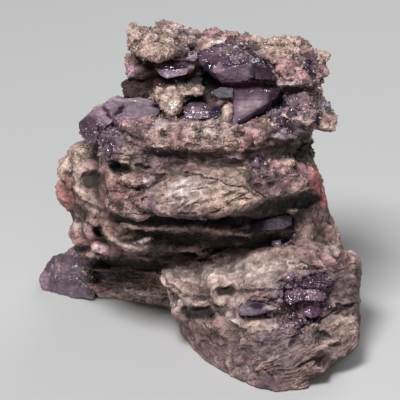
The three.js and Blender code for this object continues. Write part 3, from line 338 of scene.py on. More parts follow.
# Hollows in the front, in the same columns, with a depth in place of how far a lump stands out.
# Their dark colours are painted shade in the hollows; the purple ones are the rock's own colour.
PITS = (
    (-18.2, 108.9, 1.6, 1.2, 0, 1, SHADE_BLACK, 0.7),
    (33.6, 98.7, 2.8, 2, 0, 0.8, PURPLE, 0.9),
    (34.2, 91.6, 2.4, 0.9, 0, 0.6, SHADE_BLACK, 0.8),
    (-11, 77.6, 2.4, 2.4, 0, 0.7, UMBER, 0.9),
    (-2.2, 73.9, 4.4, 1.4, 0, 0.7, UMBER, 0.8),
    (11.7, 77.4, 3.4, 2.2, 0, 0.6, UMBER, 0.8),
    (-24.5, 66.8, 5.8, 2.8, 0, 2.2, SHADE_BLACK, 0.95),
    (-1.6, 87.6, 5, 2.6, 0, 2.4, SHADE_BLACK, 0.95),
    (-14.6, 85.4, 4.6, 3.2, 30, 2, SHADE_BLACK, 0.9),
    (28, 72.4, 15, 5, 6, 2.6, SHADE_GREEN, 0.97),
    (28, 56.6, 17, 3.4, 12, 1.4, SHADE_BLACK, 0.9),
    (-17.2, 67.5, 4.6, 1.3, 0, 1, SHADE_BLACK, 0.8),
    (-10, 71.2, 7, 1.6, 0, 0.8, PURPLE, 0.8),
    (18, 70, 6, 2.2, 0, 0.8, PURPLE, 0.8),
    (-32.2, 63.4, 7.8, 5, 10, 1.6, SHADE_GREEN, 0.8),
    (-30.8, 64.9, 3.6, 1.8, 0, 0.8, SHADE_BLACK, 0.7),
    (-30.6, 48.4, 3, 3.4, 0, 2, SHADE_BLACK, 0.9),
    (-18.8, 61.4, 7, 1.6, 0, 0.8, UMBER, 0.8),
    (19, 64.6, 2.4, 1.4, 0, 0.6, UMBER, 0.8),
    (21.2, 62.4, 2, 1.6, 0, 0.6, SHADE_BLACK, 0.7),
    (17.4, 61.8, 2.2, 1.2, 0, 0.5, UMBER, 0.8),
    (1.8, 39.6, 4.8, 1, -4, 1.2, SHADE_BLACK, 0.8),
    (7.6, 30.4, 6, 2.8, 8, 1.8, SHADE_BLACK, 0.97),
    (16.5, 30.6, 12, 1, 2, 0.7, UMBER, 0.8),
    (0.8, 28.2, 7.4, 0.9, 5, 0.6, UMBER, 0.8),
    (-0.2, 23.6, 10, 4, -8, 2.4, SHADE_BLACK, 0.97),
    (22, 28, 6.6, 1.2, -10, 0.9, SHADE_BLACK, 0.8),
    (22.4, 22.9, 6.6, 1.4, 8, 1, SHADE_BLACK, 0.8),
    (26, 33.2, 4.4, 1.2, 0, 1, SHADE_GREEN, 0.9),
    (29.3, 17.1, 7.4, 2.2, 53, 1.2, PURPLE, 0.9),
    (36.9, 17.4, 6, 1.5, -15, 0.8, SHADE_GREEN, 0.8),
    (33.6, 36.9, 8, 1, -4, 0.8, SHADE_GREEN, 0.8),
    (42.6, 25.2, 9, 1.6, 15, 1.4, SHADE_BLACK, 0.9),
    (-26, 38.6, 14, 2.6, 0, 1, SHADE_BLACK, 0.9),
    (-14, 37.6, 10, 3, 0, 1, SHADE_BLACK, 0.9),
)

# Colour alone. Each row: x, h, across, up, slope, colour, strength. Some rows are painted shade or
# painted light, as marked.
TONES = (
    (20, 20, 56, 46, 0, STONE, 0.5),
    (-15, 105, 15, 10, -20, CREAM, 0.5),
    # Painted shade under the cap's front, above the small crystal.
    (-4.2, 101.6, 8.4, 2.6, 0, SHADE_GREEN, 0.6),
    (-5, 103.4, 9, 3, 0, MAUVE, 0.5),
    (-17.7, 100, 9, 3.2, -30, UMBER, 0.8),
    (24, 104, 20, 6, -6, CREAM, 0.55),
    (26, 97, 12, 8, 0, PINK, 0.6),
    (33.2, 98.6, 5.4, 6, 0, PURPLE, 0.95),
    (34.5, 101, 3.4, 3, 0, LILAC, 0.5),
    # Painted shade: these four rows darken the cavity under the cap and the lump in it.
    (-4, 93.4, 28, 7, 0, SHADE_BLACK, 1),
    (-15, 91.6, 12, 6, 0, UMBER, 0.6),
    (-19.5, 91.6, 13, 9, 0, SHADE_BLACK, 0.92),
    (-16.5, 91.6, 11, 6, 0, MAROON, 0.95),
    (-6, 90.2, 15, 2.6, 0, CREAM, 0.8),
    (-9, 86.4, 6, 7, 0, CREAM, 0.7),
    # Painted shade in the two pits beside the crumbs.
    (-1.4, 87.6, 6, 2.6, 0, SHADE_BLACK, 0.95),
    (-15, 85.6, 6, 3.6, 30, SHADE_BLACK, 0.9),
    (-9.8, 77.8, 10, 4.6, 0, CREAM, 0.6),
    (-20, 79.6, 9, 3.6, 0, PINK, 0.6),
    (-27, 76, 8, 8, 20, PURPLE, 0.6),
    (2, 78.6, 16, 5, 0, WHITE, 0.4),
    (-18, 80.6, 12, 3.4, 0, HEATHER, 0.5),
    (-10, 76.2, 9, 4, 0, ROSE, 0.5),
    (20, 93, 9, 3, 0, MAUVE, 0.6),
    (-27.2, 75.6, 9.6, 10.6, 0, MAUVE, 0.95),
    # Painted shade, a little, over the glittering dark face below the shelf's pale crystal.
    (-27, 76, 9, 9, 0, SHADE_BLACK, 0.25),
    (-27, 70.6, 9, 3, 0, MAUVE, 0.6),
    (27.4, 86, 15, 11, 0, MAUVE, 0.9),
    (23, 83.6, 5, 5, 30, PURPLE, 0.7),
    (27, 79.4, 8, 3.4, 0, PURPLE, 0.85),
    (34.5, 82, 6, 5, 0, MAUVE, 0.5),
    # Painted shade under the overhanging mass on the right.
    (28, 72.8, 18, 9, 0, SHADE_GREEN, 0.97),
    (28.6, 73, 15, 6, 6, MAROON, 0.9),
    (25, 67.6, 11, 5, 0, ROSE, 0.7),
    (24, 69.4, 9, 4.6, 0, UMBER, 0.6),
    (-4, 78, 34, 9, 0, CREAM, 0.25),
    (-3, 71.4, 46, 2.6, 0, UMBER, 0.6),
    (-10, 70.4, 7, 4, 0, PURPLE, 0.6),
    (18, 69.8, 7, 4, 0, PURPLE, 0.6),
    (-12, 68.4, 18, 3, 0, MAUVE, 0.5),
    (8, 68.6, 20, 2.6, 0, MAUVE, 0.4),
    (6, 65, 18, 4.4, -4, CREAM, 0.5),
    (19, 63.2, 7.6, 5.4, 0, MAUVE, 0.7),
    (29, 66, 9, 6, 0, MAUVE, 0.35),
    (2, 59, 34, 9, -3, CREAM, 0.9),
    # Painted highlight on the wedge's upper left.
    (-5, 61, 9, 5.6, 20, WHITE, 0.9),
    (-15.6, 56.2, 8.4, 4.6, 8, MAUVE, 0.75),
    (-15, 57.6, 3.6, 2.2, 10, PURPLE, 0.8),
    (-12.8, 62.2, 4.6, 2.4, 25, MAUVE, 0.7),
    # Painted shade along the wedge's lower right edge.
    (8.6, 55, 9, 3, 14, UMBER, 0.45),
    (10, 58.4, 14, 6, 10, OCHRE, 0.45),
    (27, 63.4, 17, 5, 8, MAUVE, 0.6),
    # Painted shade: the dark plane right of the wedge, and the recess below it.
    (26, 54.2, 28, 8.8, 12, SHADE_BLACK, 0.98),
    (19, 53.4, 11, 5, 20, SHADE_BLACK, 0.95),
    (20, 51, 24, 6, 4, SHADE_BLACK, 0.8),
    (34.8, 56.2, 4, 6, 0, UMBER, 0.5),
    (-22, 60, 14, 12, 0, ROSE, 0.4),
    (-23.6, 60, 6.5, 12, 0, UMBER, 0.35),
    (-37, 66.6, 13, 13, 0, CREAM, 0.7),
    (-39.4, 68.4, 6, 8, 0, WHITE, 0.25),
    (-31, 67, 7, 8, 0, PINK, 0.5),
    (-40.6, 59.6, 7, 8, 0, ROSE, 0.95),
    (-40.6, 60, 6, 8, 0, SALMON, 0.5),
    (-37, 56, 8, 7, -30, UMBER, 0.45),
    (-35, 47.6, 10, 9, 0, ROSE, 0.7),
    # Painted shade in the recess under the wedge.
    (-18, 50.6, 24, 2.4, 0, SHADE_GREEN, 0.6),
    (-6, 45.6, 46, 5, 0, SHADE_BLACK, 0.95),
    (6, 51.2, 38, 3, -2, SHADE_BLACK, 0.95),
    (14, 45, 30, 4, 4, SHADE_BLACK, 0.9),
    (-12, 42, 14, 3.4, 10, SHADE_BLACK, 0.6),
    (14, 49.4, 6, 1.6, 0, LILAC, 0.35),
    (37, 49.6, 11, 13, -30, TAN, 0.9),
    (36, 50, 9, 11, 0, UMBER, 0.6),
    # Painted shade: the shadow band above the left strata.
    (-24, 36.6, 26, 8, 0, SHADE_BLACK, 0.85),
    # The strata's cream and ochre are their own colour; the white over them is painted light.
    (-22, 29, 26, 5, -4, CREAM, 0.95),
    (-12, 28, 18, 5, -8, WHITE, 0.7),
    (-16, 31.4, 22, 3, -6, OCHRE, 0.5),
    (-18, 29.6, 20, 2.2, -6, WHITE, 0.9),
    (-30, 35, 7, 10, 0, MAUVE, 0.6),
    # The hump's cream is its own colour; the white over it is painted light.
    (8, 36.4, 42, 9.6, 3, CREAM, 0.98),
    (6, 36.6, 38, 7.6, 4, WHITE, 0.35),
    (39, 39, 10, 5.6, -8, PINK, 0.85),
    # Painted shade in a pit.
    (26, 34, 7, 4, 0, SHADE_GREEN, 0.5),
    (31, 28.4, 16, 16, -20, PLUM, 0.55),
    (27, 21, 12, 7, 30, HEATHER, 0.35),
    (16, 24.4, 15, 6, 5, MAUVE, 0.7),
    (10.4, 23.8, 4.4, 8, 0, PINK, 0.5),
    (15, 20.4, 13, 2.6, 0, CREAM, 0.35),
    (19.6, 16.2, 6.6, 4, 0, MAUVE, 0.7),
    (43, 31, 10, 11, -10, MAUVE, 0.6),
    (41, 20, 12, 7, 12, CREAM, 0.3),
    (20.6, 2.6, 7, 5, 20, PURPLE, 0.85),
    (29, 3.6, 16, 4, 14, UMBER, 0.4),
    (1, 15, 12, 14, -50, ROSE, 0.35),
)

# The red stain on the right edge, which doesn't reach far behind the front. Each row here and in the
# tables after the cracks: x, h, across, up, slope, strength.
STAINS = (
    (34.8, 64.6, 3.4, 9, 0, 0.9),
    (37.6, 58.2, 4, 4.6, -50, 0.9),
)

# Cracks in the front: a bent line of places x, h, then the depth and the width. Each is also
# painted with shade.
CRACKS = (
    # The slab's lower edge, from left to right.
    (((-4.5, 65.4), (1.5, 64.5), (9, 62.7), (15, 60.6), (18.6, 59.1), (20.4, 58.6)), 1.2, 1.1),
    (((9, 64.2), (13.5, 66.3)), 0.6, 0.8),
    (((5, 63.9), (8, 65.6)), 0.4, 0.6),
    # The wedge's edges and the splits in its right end.
    (((3, 54), (7.5, 55.8), (9.6, 57), (15, 57.9)), 0.9, 0.9),
    (((-15, 53.6), (-3, 53.1), (4.5, 52.2), (7.5, 51.9), (10.5, 54), (15, 56.1), (18.6, 57.3)), 1, 1),
    (((1.5, 56.7), (4.5, 57.9), (9, 58.8)), 0.4, 0.6),
    (((8, 59.6), (12, 60.4)), 0.4, 0.6),
    (((-2.4, 62.7), (-3.9, 59.7)), 0.4, 0.7),
    (((-7.5, 56.2), (-4.8, 57.8)), 0.4, 0.7),
    # The cap and what is under it.
    (((-21.6, 104.7), (-19.2, 105)), 0.5, 0.6),
    (((-14.4, 105.3), (-12.6, 105)), 0.5, 0.6),
    (((-12, 104.1), (-9.6, 104.4)), 0.5, 0.6),
    (((-9, 105.9), (-6, 105.6)), 0.5, 0.6),
    (((-3, 104.7), (-0.9, 105)), 0.5, 0.6),
    (((-18, 99.6), (-13.5, 97.2)), 0.9, 1),
    (((21.6, 101.7), (24.4, 101.4)), 0.5, 0.8),
    # The shelf.
    (((0.6, 79.8), (4, 79.5), (7.8, 79.8)), 0.5, 0.8),
    (((7.5, 75), (12, 74.7)), 0.6, 0.9),
    (((-30, 72), (-22, 71.4), (-16, 72)), 0.7, 0.9),
    # The right side of the band.
    (((27, 63.3), (30.6, 63)), 0.5, 0.8),
    # Left of the wedge, and the left flank.
    (((-27, 60.6), (-22.5, 59.7), (-19.5, 57.6)), 0.8, 0.9),
    (((-39, 60.6), (-33.6, 56.1)), 0.8, 1.2),
    (((-30.6, 45.9), (-26.4, 43.8)), 0.8, 0.9),
    (((-27, 53.4), (-12, 53.6)), 0.6, 0.8),
    # The lower block's hump.
    (((27, 38.1), (30.3, 39), (35.4, 37.5), (40.5, 36), (43.5, 37.2), (46.5, 39)), 0.7, 1),
    (((-12, 36), (-8.4, 32.1), (-6, 29.7)), 0.8, 1),
    (((35.4, 21), (37.5, 22.8), (42, 24.3), (45.6, 25.5)), 1.4, 1.2),
    (((38, 32.1), (43.5, 35.1), (48, 37.2)), 0.5, 0.8),
    (((18.6, 7.2), (21.6, 4.2)), 0.7, 1),
    (((-9, 26.6), (-3, 25.8)), 0.5, 0.7),
)

# Where the rock is bare and smooth.
CALM = (
    (3, 58.6, 38, 11, -3, 1),
    (6, 65.2, 20, 5, -4, 0.9),
    (-34, 60, 20, 32, 0, 0.2),
    (8, 36, 50, 16, 4, 0.9),
    (43, 24, 14, 28, 0, 0.8),
    (2, 14, 14, 20, -50, 1),
    (-16, 29, 30, 8, -4, 0.7),
    (24, 54, 20, 10, 10, 0.9),
)

# Where quartz sugar coats the rock.
SUGAR = (
    (-13, 104, 24, 14, -10, 1),
    (24, 100, 34, 18, -8, 0.7),
    (-8, 88, 16, 10, 0, 1),
    (-6, 78, 48, 10, 0, 0.9),
    (28, 85, 26, 15, 0, 0.9),
    (-27, 75, 10, 12, 0, 0.9),
    (24, 67, 20, 7, 0, 0.6),
    (-21, 60, 14, 14, 0, 0.6),
    (28, 26, 16, 22, 0, 0.35),
)

# Where the crystals are frosted with quartz.
FROST = (
    (11, 102.4, 13, 4.6, -18, 0.2),
    (5, 102, 6, 2.4, 10, 0.2),
    (-1, 84, 8, 4, 0, 0.05),
    (34, 33.4, 8, 4, 0, 0.25),
    (29, 30.4, 12, 3, 0, 0.2),
    (-30, 77.4, 12, 7, 0, 0.2),
    (-32, 34, 6, 12, 0, 0.3),
)

# Where chips of fluorite sit in the rock.
CHIPS = (
    (30.6, 27.6, 16, 17, -20, 0.8),
    (19, 26, 14, 8, 0, 0.25),
    (26, 84, 12, 9, 0, 0.5),
    (27, 79.4, 9, 4, 0, 0.7),
    (33.2, 98.6, 5, 6, 0, 0.6),
    (-10, 70.4, 8, 3.4, 0, 0.5),
    (18, 69.8, 7, 3.4, 0, 0.5),
    (20.4, 64.4, 6, 6, 0, 0.1),
    (-15.4, 57, 7, 4, 0, 0.3),
    (26, 45.4, 10, 4, 0, 0.5),
    (-27.2, 75.6, 9, 10, 0, 0.7),
    (-34, 43, 10, 5, 0, 0.2),
)

# Where no loose flakes hide the crystals.
CLEAR = (
    (-22, 85, 26, 14, 10, 1),
    (-1, 84, 12, 8, 0, 1),
    (15, 86, 18, 16, 10, 1),
    (10, 98, 24, 15, -14, 1),
    (-7, 97, 13, 8, 0, 1),
    (-40, 36, 20, 20, 0, 1),
    (35.7, 8.7, 9, 9, 0, 1),
)

# Where fine lines run over bare rock.
LINED = (
    (3, 58.6, 38, 11, -3, 1),
    (6, 65.2, 20, 5, -4, 0.8),
    (24, 12, 30, 16, 10, 0.5),
    (8, 36, 46, 12, 4, 0.25),
    (43, 24, 14, 26, 0, 0.6),
    (-16, 29, 30, 8, -4, 0.8),
)

# Where thin layers show: dipping ones in the lower block, and level ones in the band and the recess.
STRATA = (
    (34, 10, 34, 22, 18, 1),
    (24, 20, 26, 14, 18, 0.5),
)
LEVEL = (
    (0, 71, 60, 6, 0, 0.8),
    (0, 46, 60, 8, 0, 1),
    (-20, 34, 40, 14, -4, 1),
)

# Where the main forms are worn round, and where they keep their edges.
WORN = (
    (14, 26, 74, 44, 0, 1),
    (-36, 56, 24, 50, 0, 0.6),
    (36, 60, 16, 34, 0, 0.8),
    (21, 64, 16, 12, 0, 1),
    (-12, 104, 30, 16, -10, 0.6),
    (24, 100, 40, 20, -8, 0.6),
)
CRISP = (
    (-3, 59, 34, 13, -3, 1),
    (0, 46, 50, 8, 0, 0.7),
)


# Repeatable noise. A size is in millimetres, and a seed picks the pattern.

# What scramble mixes a cell with.
CELL_FACTORS = np.array([73856093, 19349663, 83492791], np.uint32)
SEED_FACTOR = 7919
SEED_START = 13
MIXERS = ((15, 2246822519), (13, 3266489917))
LAST_SHIFT = 16
LOW_BITS = 0xFFFFFF

# The corners of a cell.
CORNERS = [np.array([i, j, k]) for i in (0, 1) for j in (0, 1) for k in (0, 1)]

# How each finer wave is turned against the one before.
TILT = np.array(Matrix.Rotation(0.6, 3, "X") @ Matrix.Rotation(0.9, 3, "Z"))

# A grain's middle keeps this far from its cell's edge, and has this much room.
GRAIN_EDGE = 0.15
GRAIN_ROOM = 0.7


def scramble(cells, seed):
    """A repeatable number from 0 to 1 for each whole-number cell."""
    i, j, k = (cells.astype(np.int64).astype(np.uint32) * CELL_FACTORS).T
    n = i ^ j ^ k ^ np.uint32(seed * SEED_FACTOR + SEED_START)
    for shift, factor in MIXERS:
        n = (n ^ (n >> np.uint32(shift))) * np.uint32(factor)
    n = n ^ (n >> np.uint32(LAST_SHIFT))
    return (n & np.uint32(LOW_BITS)) / float(LOW_BITS)


def waves(points, size, seed):
    """Smooth noise from -1 to 1 with features of the given size."""
    scaled = points / size
    base = np.floor(scaled)
    t = scaled - base
    t = t * t * t * (t * (t * 6 - 15) + 10)
    total = np.zeros(len(points))
    for corner in CORNERS:
        weight = np.prod(np.where(corner == 1, t, 1 - t), axis=1)
        total += weight * scramble(base + corner, seed)
    return total * 2 - 1


def rough(points, size, seed, octaves, fade=0.55):
    """Noise with finer and finer waves, each octave half the size of the last."""
    total = np.zeros(len(points))
    height, span = 1.0, 0.0
    for octave in range(octaves):
        total += height * waves(points, size, seed + octave)
        span += height
        points = points @ TILT
        size *= 0.5
        height *= fade
    return total / span


def grains(points, size, seed):
    """The nearest grain of a packed heap: how far its middle is, its own number, and the way from its
    middle."""
    scaled = points / size
    base = np.floor(scaled - 0.5)
    nearest = np.full(len(points), np.inf)
    number = np.zeros(len(points))
    offset = np.zeros_like(points)
    for corner in CORNERS:
        cell = base + corner
        spot = np.stack([scramble(cell, seed + extra) for extra in (0, 31, 57)], 1)
        way = scaled - (cell + GRAIN_EDGE + GRAIN_ROOM * spot)
        far = np.linalg.norm(way, axis=1)
        closer = far < nearest
        nearest = np.where(closer, far, nearest)
        number = np.where(closer, spot[:, 0], number)
        offset = np.where(closer[:, None], way, offset)
    return nearest, number, offset * size


def facets(points, size, seed, slope):
    """Broken facets: each grain is a flat plane with a slant of its own."""
    _, number, offset = grains(points, size, seed)
    turn = number * math.tau * 5
    lift = (number * 7.3) % 1
    slant = np.stack([np.cos(turn), np.sin(turn), np.cos(turn * 1.7)], 1)
    return np.sum(slant * offset, 1) * slope + (lift - 0.5) * size * slope * 0.5


# Meshes


def values_of(items, name, width, kind=float):
    """What each item has under the name, as one row of numbers for each."""
    values = np.zeros(len(items) * width, kind)
    items.foreach_get(name, values)
    return values.reshape(-1, width)


def arrays_of(obj):
    """An object's points in millimetres, and its triangles."""
    mesh = obj.data
    mesh.calc_loop_triangles()
    return values_of(mesh.vertices, "co", 3) / MM, values_of(mesh.loop_triangles, "vertices", 3, np.int32)


def normals_of(obj):
    """The way out of the object at each of its points."""
    return values_of(obj.data.vertices, "normal", 3)


def move_points(obj, points):
    """Puts the object's points at these places, in millimetres."""
    obj.data.vertices.foreach_set("co", (points * MM).ravel())
    obj.data.update()


def added(name, data):
    """A new object in the scene."""
    obj = bpy.data.objects.new(name, data)
    bpy.context.scene.collection.objects.link(obj)
    return obj


def new_object(name, points, faces):
    """A mesh object from points in millimetres and triangles."""
    mesh = bpy.data.meshes.new(name)
    mesh.vertices.add(len(points))
    mesh.vertices.foreach_set("co", (np.asarray(points) * MM).ravel())
    mesh.loops.add(faces.size)
    mesh.loops.foreach_set("vertex_index", np.asarray(faces, np.int32).ravel())
    mesh.polygons.add(len(faces))
    mesh.polygons.foreach_set("loop_start", np.arange(len(faces), dtype=np.int32) * 3)
    mesh.update(calc_edges=True)
    return added(name, mesh)


def join(parts):
    """One list of points and triangles from several."""
    points, faces, start = [], [], 0
    for part_points, part_faces in parts:
        points.append(part_points)
        faces.append(part_faces + start)
        start += len(part_points)
    return np.concatenate(points), np.concatenate(faces)


def apply_modifiers(obj):
    """Makes the object's mesh what its modifiers show."""
    bpy.context.view_layer.update()
    evaluated = obj.evaluated_get(bpy.context.evaluated_depsgraph_get())
    mesh = bpy.data.meshes.new_from_object(evaluated)
    obj.modifiers.clear()
    obj.data = mesh


def one_skin(obj, step):
    """Everything in the object as one closed skin of small squares. It is worked out on a model a
    thousand times as large, because the steps are too small for the remesher in metres."""
    points, _ = arrays_of(obj)
    move_points(obj, points / MM)
    remesh = obj.modifiers.new("skin", "REMESH")
    remesh.mode = "VOXEL"
    remesh.voxel_size = step
    remesh.use_smooth_shade = True
    apply_modifiers(obj)
    points, _ = arrays_of(obj)
    move_points(obj, points * MM)


def without_scraps(obj, fewest=60):
    """Deletes what came loose from the object in its making."""
    bm = bmesh.new()
    bm.from_mesh(obj.data)
    seen = set()
    for start in bm.verts:
        if start in seen:
            continue
        seen.add(start)
        island = [start]
        for vertex in island:
            for edge in vertex.link_edges:
                other = edge.other_vert(vertex)
                if other not in seen:
                    seen.add(other)
                    island.append(other)
        if len(island) < fewest:
            bmesh.ops.delete(bm, geom=island, context="VERTS")
    bm.to_mesh(obj.data)
    bm.free()


def softened(obj, points, rounds):
    """The points after some rounds of moving each to the middle of its neighbours."""
    pairs = values_of(obj.data.edges, "vertices", 2, np.int32)
    ends = np.concatenate([pairs, pairs[:, ::-1]])
    count = np.bincount(ends[:, 0], minlength=len(points))[:, None]
    for _ in range(rounds):
        sums = [np.bincount(ends[:, 0], points[ends[:, 1], axis], len(points)) for axis in range(3)]
        points = np.stack(sums, 1) / np.maximum(count, 1)
    return points


def hull(points):
    """The convex solid around some points, as points and triangles."""
    bm = bmesh.new()
    for point in points:
        bm.verts.new(point)
    result = bmesh.ops.convex_hull(bm, input=bm.verts)
    loose = [v for v in result["geom_interior"] if isinstance(v, bmesh.types.BMVert)]
    bmesh.ops.delete(bm, geom=loose, context="VERTS")
    bmesh.ops.triangulate(bm, faces=bm.faces)
    bmesh.ops.recalc_face_normals(bm, faces=bm.faces)
    bm.verts.index_update()
    corners = np.array([v.co for v in bm.verts])
    faces = np.array([[v.index for v in f.verts] for f in bm.faces])
    bm.free()
    return corners, faces


def broken_shapes(seed, count, corners, square, dent=0.25):
    """Some different broken lumps, each within -0.5 to 0.5 along its sides."""
    random = np.random.default_rng(seed)
    shapes = []
    for _ in range(count):
        spread = random.normal(size=(corners, 3))
        spread /= np.linalg.norm(spread, axis=1)[:, None]
        spread = np.sign(spread) * np.abs(spread) ** square
        spread *= 1 - dent * random.random((corners, 1))
        span = spread.max(0) - spread.min(0)
        shapes.append(hull((spread - spread.min(0)) / span - 0.5))
    return shapes


def surface_spots(points, faces, count, random):
    """Spots spread evenly over a surface, the way out of it there, and the triangle of each."""
    a, b, c = points[faces[:, 0]], points[faces[:, 1]], points[faces[:, 2]]
    across = np.cross(b - a, c - a)
    area = np.linalg.norm(across, axis=1)
    picked = random.choice(len(faces), count, p=area / area.sum())
    u, v = random.random((2, count))
    over = u + v > 1
    u, v = np.where(over, 1 - u, u), np.where(over, 1 - v, v)
    spots = a[picked] + (b - a)[picked] * u[:, None] + (c - a)[picked] * v[:, None]
    return spots, across[picked] / np.maximum(area[picked], 1e-9)[:, None], picked


def turns(random, count, roll, pitch, yaw):
    """Turn matrices with angles, in degrees, spread around zero."""
    angles = np.radians(random.normal(size=(count, 3)) * np.array([pitch, roll, yaw]))
    matrices = np.zeros((count, 3, 3))
    cos, sin = np.cos(angles), np.sin(angles)
    for n in range(count):
        (ca, cb, cc), (sa, sb, sc) = cos[n], sin[n]
        about_x = np.array([[1, 0, 0], [0, ca, -sa], [0, sa, ca]])
        about_y = np.array([[cb, 0, sb], [0, 1, 0], [-sb, 0, cb]])
        about_z = np.array([[cc, -sc, 0], [sc, cc, 0], [0, 0, 1]])
        matrices[n] = about_z @ about_y @ about_x
    return matrices


def scattered(shapes, spots, sizes, matrices, random):
    """Copies of the shapes at the spots, as points and triangles, and the copy that each point is of."""
    parts = []
    owners = []
    for n, spot in enumerate(spots):
        corners, faces = shapes[random.integers(len(shapes))]
        parts.append(((corners * sizes[n]) @ matrices[n].T + spot, faces))
        owners.append(np.full(len(corners), n))
    return *join(parts), np.concatenate(owners)


# Shares of the front


def oval(places, x, h, across, up, slope, soft):
    """How far inside an oval of the front each place is, from 0 to 1. Slope lifts its right end."""
    turn = math.radians(slope)
    dx, dh = places[:, 0] - x, places[:, 1] - h
    along = dx * math.cos(turn) + dh * math.sin(turn)
    over = dh * math.cos(turn) - dx * math.sin(turn)
    far = np.hypot(along / (across / 2), over / (up / 2))
    return 1 - smooth(1 - soft, 1 + soft, far)


def share(places, rows, soft=0.25):
    """How far inside a table's ovals each place is, times the sixth number of the oval's row."""
    total = np.zeros(len(places))
    for x, h, across, up, slope, strength, *_ in rows:
        total = np.maximum(total, strength * oval(places, x, h, across, up, slope, soft))
    return total


def sugar_share(places):
    """The sugary crust, which also covers the sides and the back of the upper block."""
    behind = 0.5 * smooth(-18, -30, places[:, 2]) * smooth(60, 75, places[:, 1])
    return np.maximum(share(places, SUGAR), behind) * (1 - 0.7 * share(places, CALM))


def facing_front(normals):
    """What looks out of the front, from 0 to 1."""
    return smooth(-0.1, 0.3, normals @ OUT_OF_FRONT)


def seen_from_front(normals):
    """As above, with the hollows' floors and roofs."""
    return smooth(-0.7, -0.2, normals @ OUT_OF_FRONT)


def turned_away(points, normals):
    """The back, and the rear of the sides."""
    return smooth(0.1, -0.3, normals @ OUT_OF_FRONT) * smooth(8, 20, points[:, 1])


def veins(points):
    """Patches of the back where fluorite and quartz show."""
    return smooth(0.08, 0.24, rough(points, 17, 311, 3))


def hollow(obj, points, normals, rounds, full):
    """How hollow the skin is at each point, from -1 on a rim to 1 in a groove of the full depth."""
    inward = np.sum((softened(obj, points, rounds) - points) * normals, 1)
    return np.clip(inward / full, -1, 1)


# The rock


def depth_finder(points, faces):
    """A function that says how far out the rock's front is at a place."""
    tree = BVHTree.FromPolygons(points.tolist(), faces.tolist())
    before, behind = 60, -100

    def depth(x, h):
        start, end = place([(x, h, before), (x, h, behind)])
        spot, _, _, _ = tree.ray_cast(Vector(start), Vector(end - start).normalized())
        return math.nan if spot is None else front(np.array([spot]))[0, 2]

    return depth


def lump(row, shape, depth, level, thick):
    """One listed lump, sunk in the front so that it stands out by its rise. Level is 0 where its
    sides run square into the front, and 1 where they run level into the rock."""
    x, h, across, up, slope, rise = row[:6]
    turn = math.radians(slope)
    along, over = math.cos(turn), math.sin(turn)
    reach = 0.3
    probes = [(0, 0), (reach, 0), (-reach, 0), (0, reach), (0, -reach)]
    found = [depth(x + i * across * along - j * up * over, h + i * across * over + j * up * along)
             for i, j in probes]
    found = [d for d in found if not math.isnan(d)]
    if not found:
        return None
    deep = thick + rise
    middle = float(np.median(found)) + rise - deep / 2
    corners, faces = shape
    i, j, k = (corners * np.array([across, up, deep])).T
    back = (deep / 2 - k) * math.tan(FRONT_LEAN) * level
    places = np.stack([x + i * along - j * over, h + i * over + j * along + back, middle + k], 1)
    return place(places), faces


def hand_placed(depth):
    """All the lumps and slabs that the front shows."""
    round_shapes = broken_shapes(seed=21, count=12, corners=30, square=0.8)
    flat_shapes = broken_shapes(seed=22, count=8, corners=20, square=0.5)
    parts = []
    for n, row in enumerate(KNOBS):
        thick = 0.8 * min(row[2], row[3])
        parts.append(lump(row, round_shapes[n % len(round_shapes)], depth, level=0.3, thick=thick))
    for n, row in enumerate(SLABS):
        parts.append(lump(row, flat_shapes[n % len(flat_shapes)], depth, level=1.0, thick=2.5))
    return [part for part in parts if part]


def worn_forms():
    """The rock's main forms, with their long straight edges worn and bent."""
    forms = new_object("forms", *arrays_of(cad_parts["matrix"]))
    one_skin(forms, 2 * ROCK_STEP)
    points, faces = arrays_of(forms)
    places = front(points)
    away = turned_away(points, normals_of(forms))[:, None]
    crisp = share(places, CRISP)[:, None] * (1 - away)
    worn = np.maximum(share(places, WORN)[:, None] * (1 - crisp), away)
    shaped = points + (softened(forms, points, rounds=3) - points) * (1 - crisp)
    shaped += (softened(forms, points, rounds=24) - shaped) * worn
    for size, far in ((11.0, 1.1), (4.5, 0.6)):
        bend = np.stack([rough(points, size, seed, 2) for seed in (201, 211, 221)], 1)
        shaped += bend * far * (1 - 0.7 * crisp + away)
    shaped[:, 2] = np.maximum(shaped[:, 2], 0)
    underside = points[:, 2] < 0.5
    shaped[underside, 2] = points[underside, 2]
    bpy.data.objects.remove(forms)
    return shaped, faces


def flakes_wanted(points, _):
    """The share of flakes that is kept at each point: fewer where the rock is bare and smooth."""
    return 0.9 - 1.2 * share(front(points), CALM)


def crumbs_wanted(points, _):
    """The share of crumbs that is kept at each point: most in the sugary crust."""
    return sugar_share(front(points)) + 0.12


# What is scattered over the rock: flakes, crumbs, and the lumps of the back. Each row: how many spots are
# tried, the smallest and the largest width, depth and thickness, how far they tilt in degrees, how far
# they stand out at most, and what says where they are kept.
SCATTER = (
    (1900, (2.0, 5.0), (2.0, 4.5), (0.8, 1.8), 12, 0.6, flakes_wanted),
    (4200, (0.9, 2.4), (0.9, 2.2), (0.8, 1.8), 40, 0.5, crumbs_wanted),
    (560, (5.0, 15.0), (5.0, 9.0), (2.5, 6.5), 14, 1.3, turned_away),
)


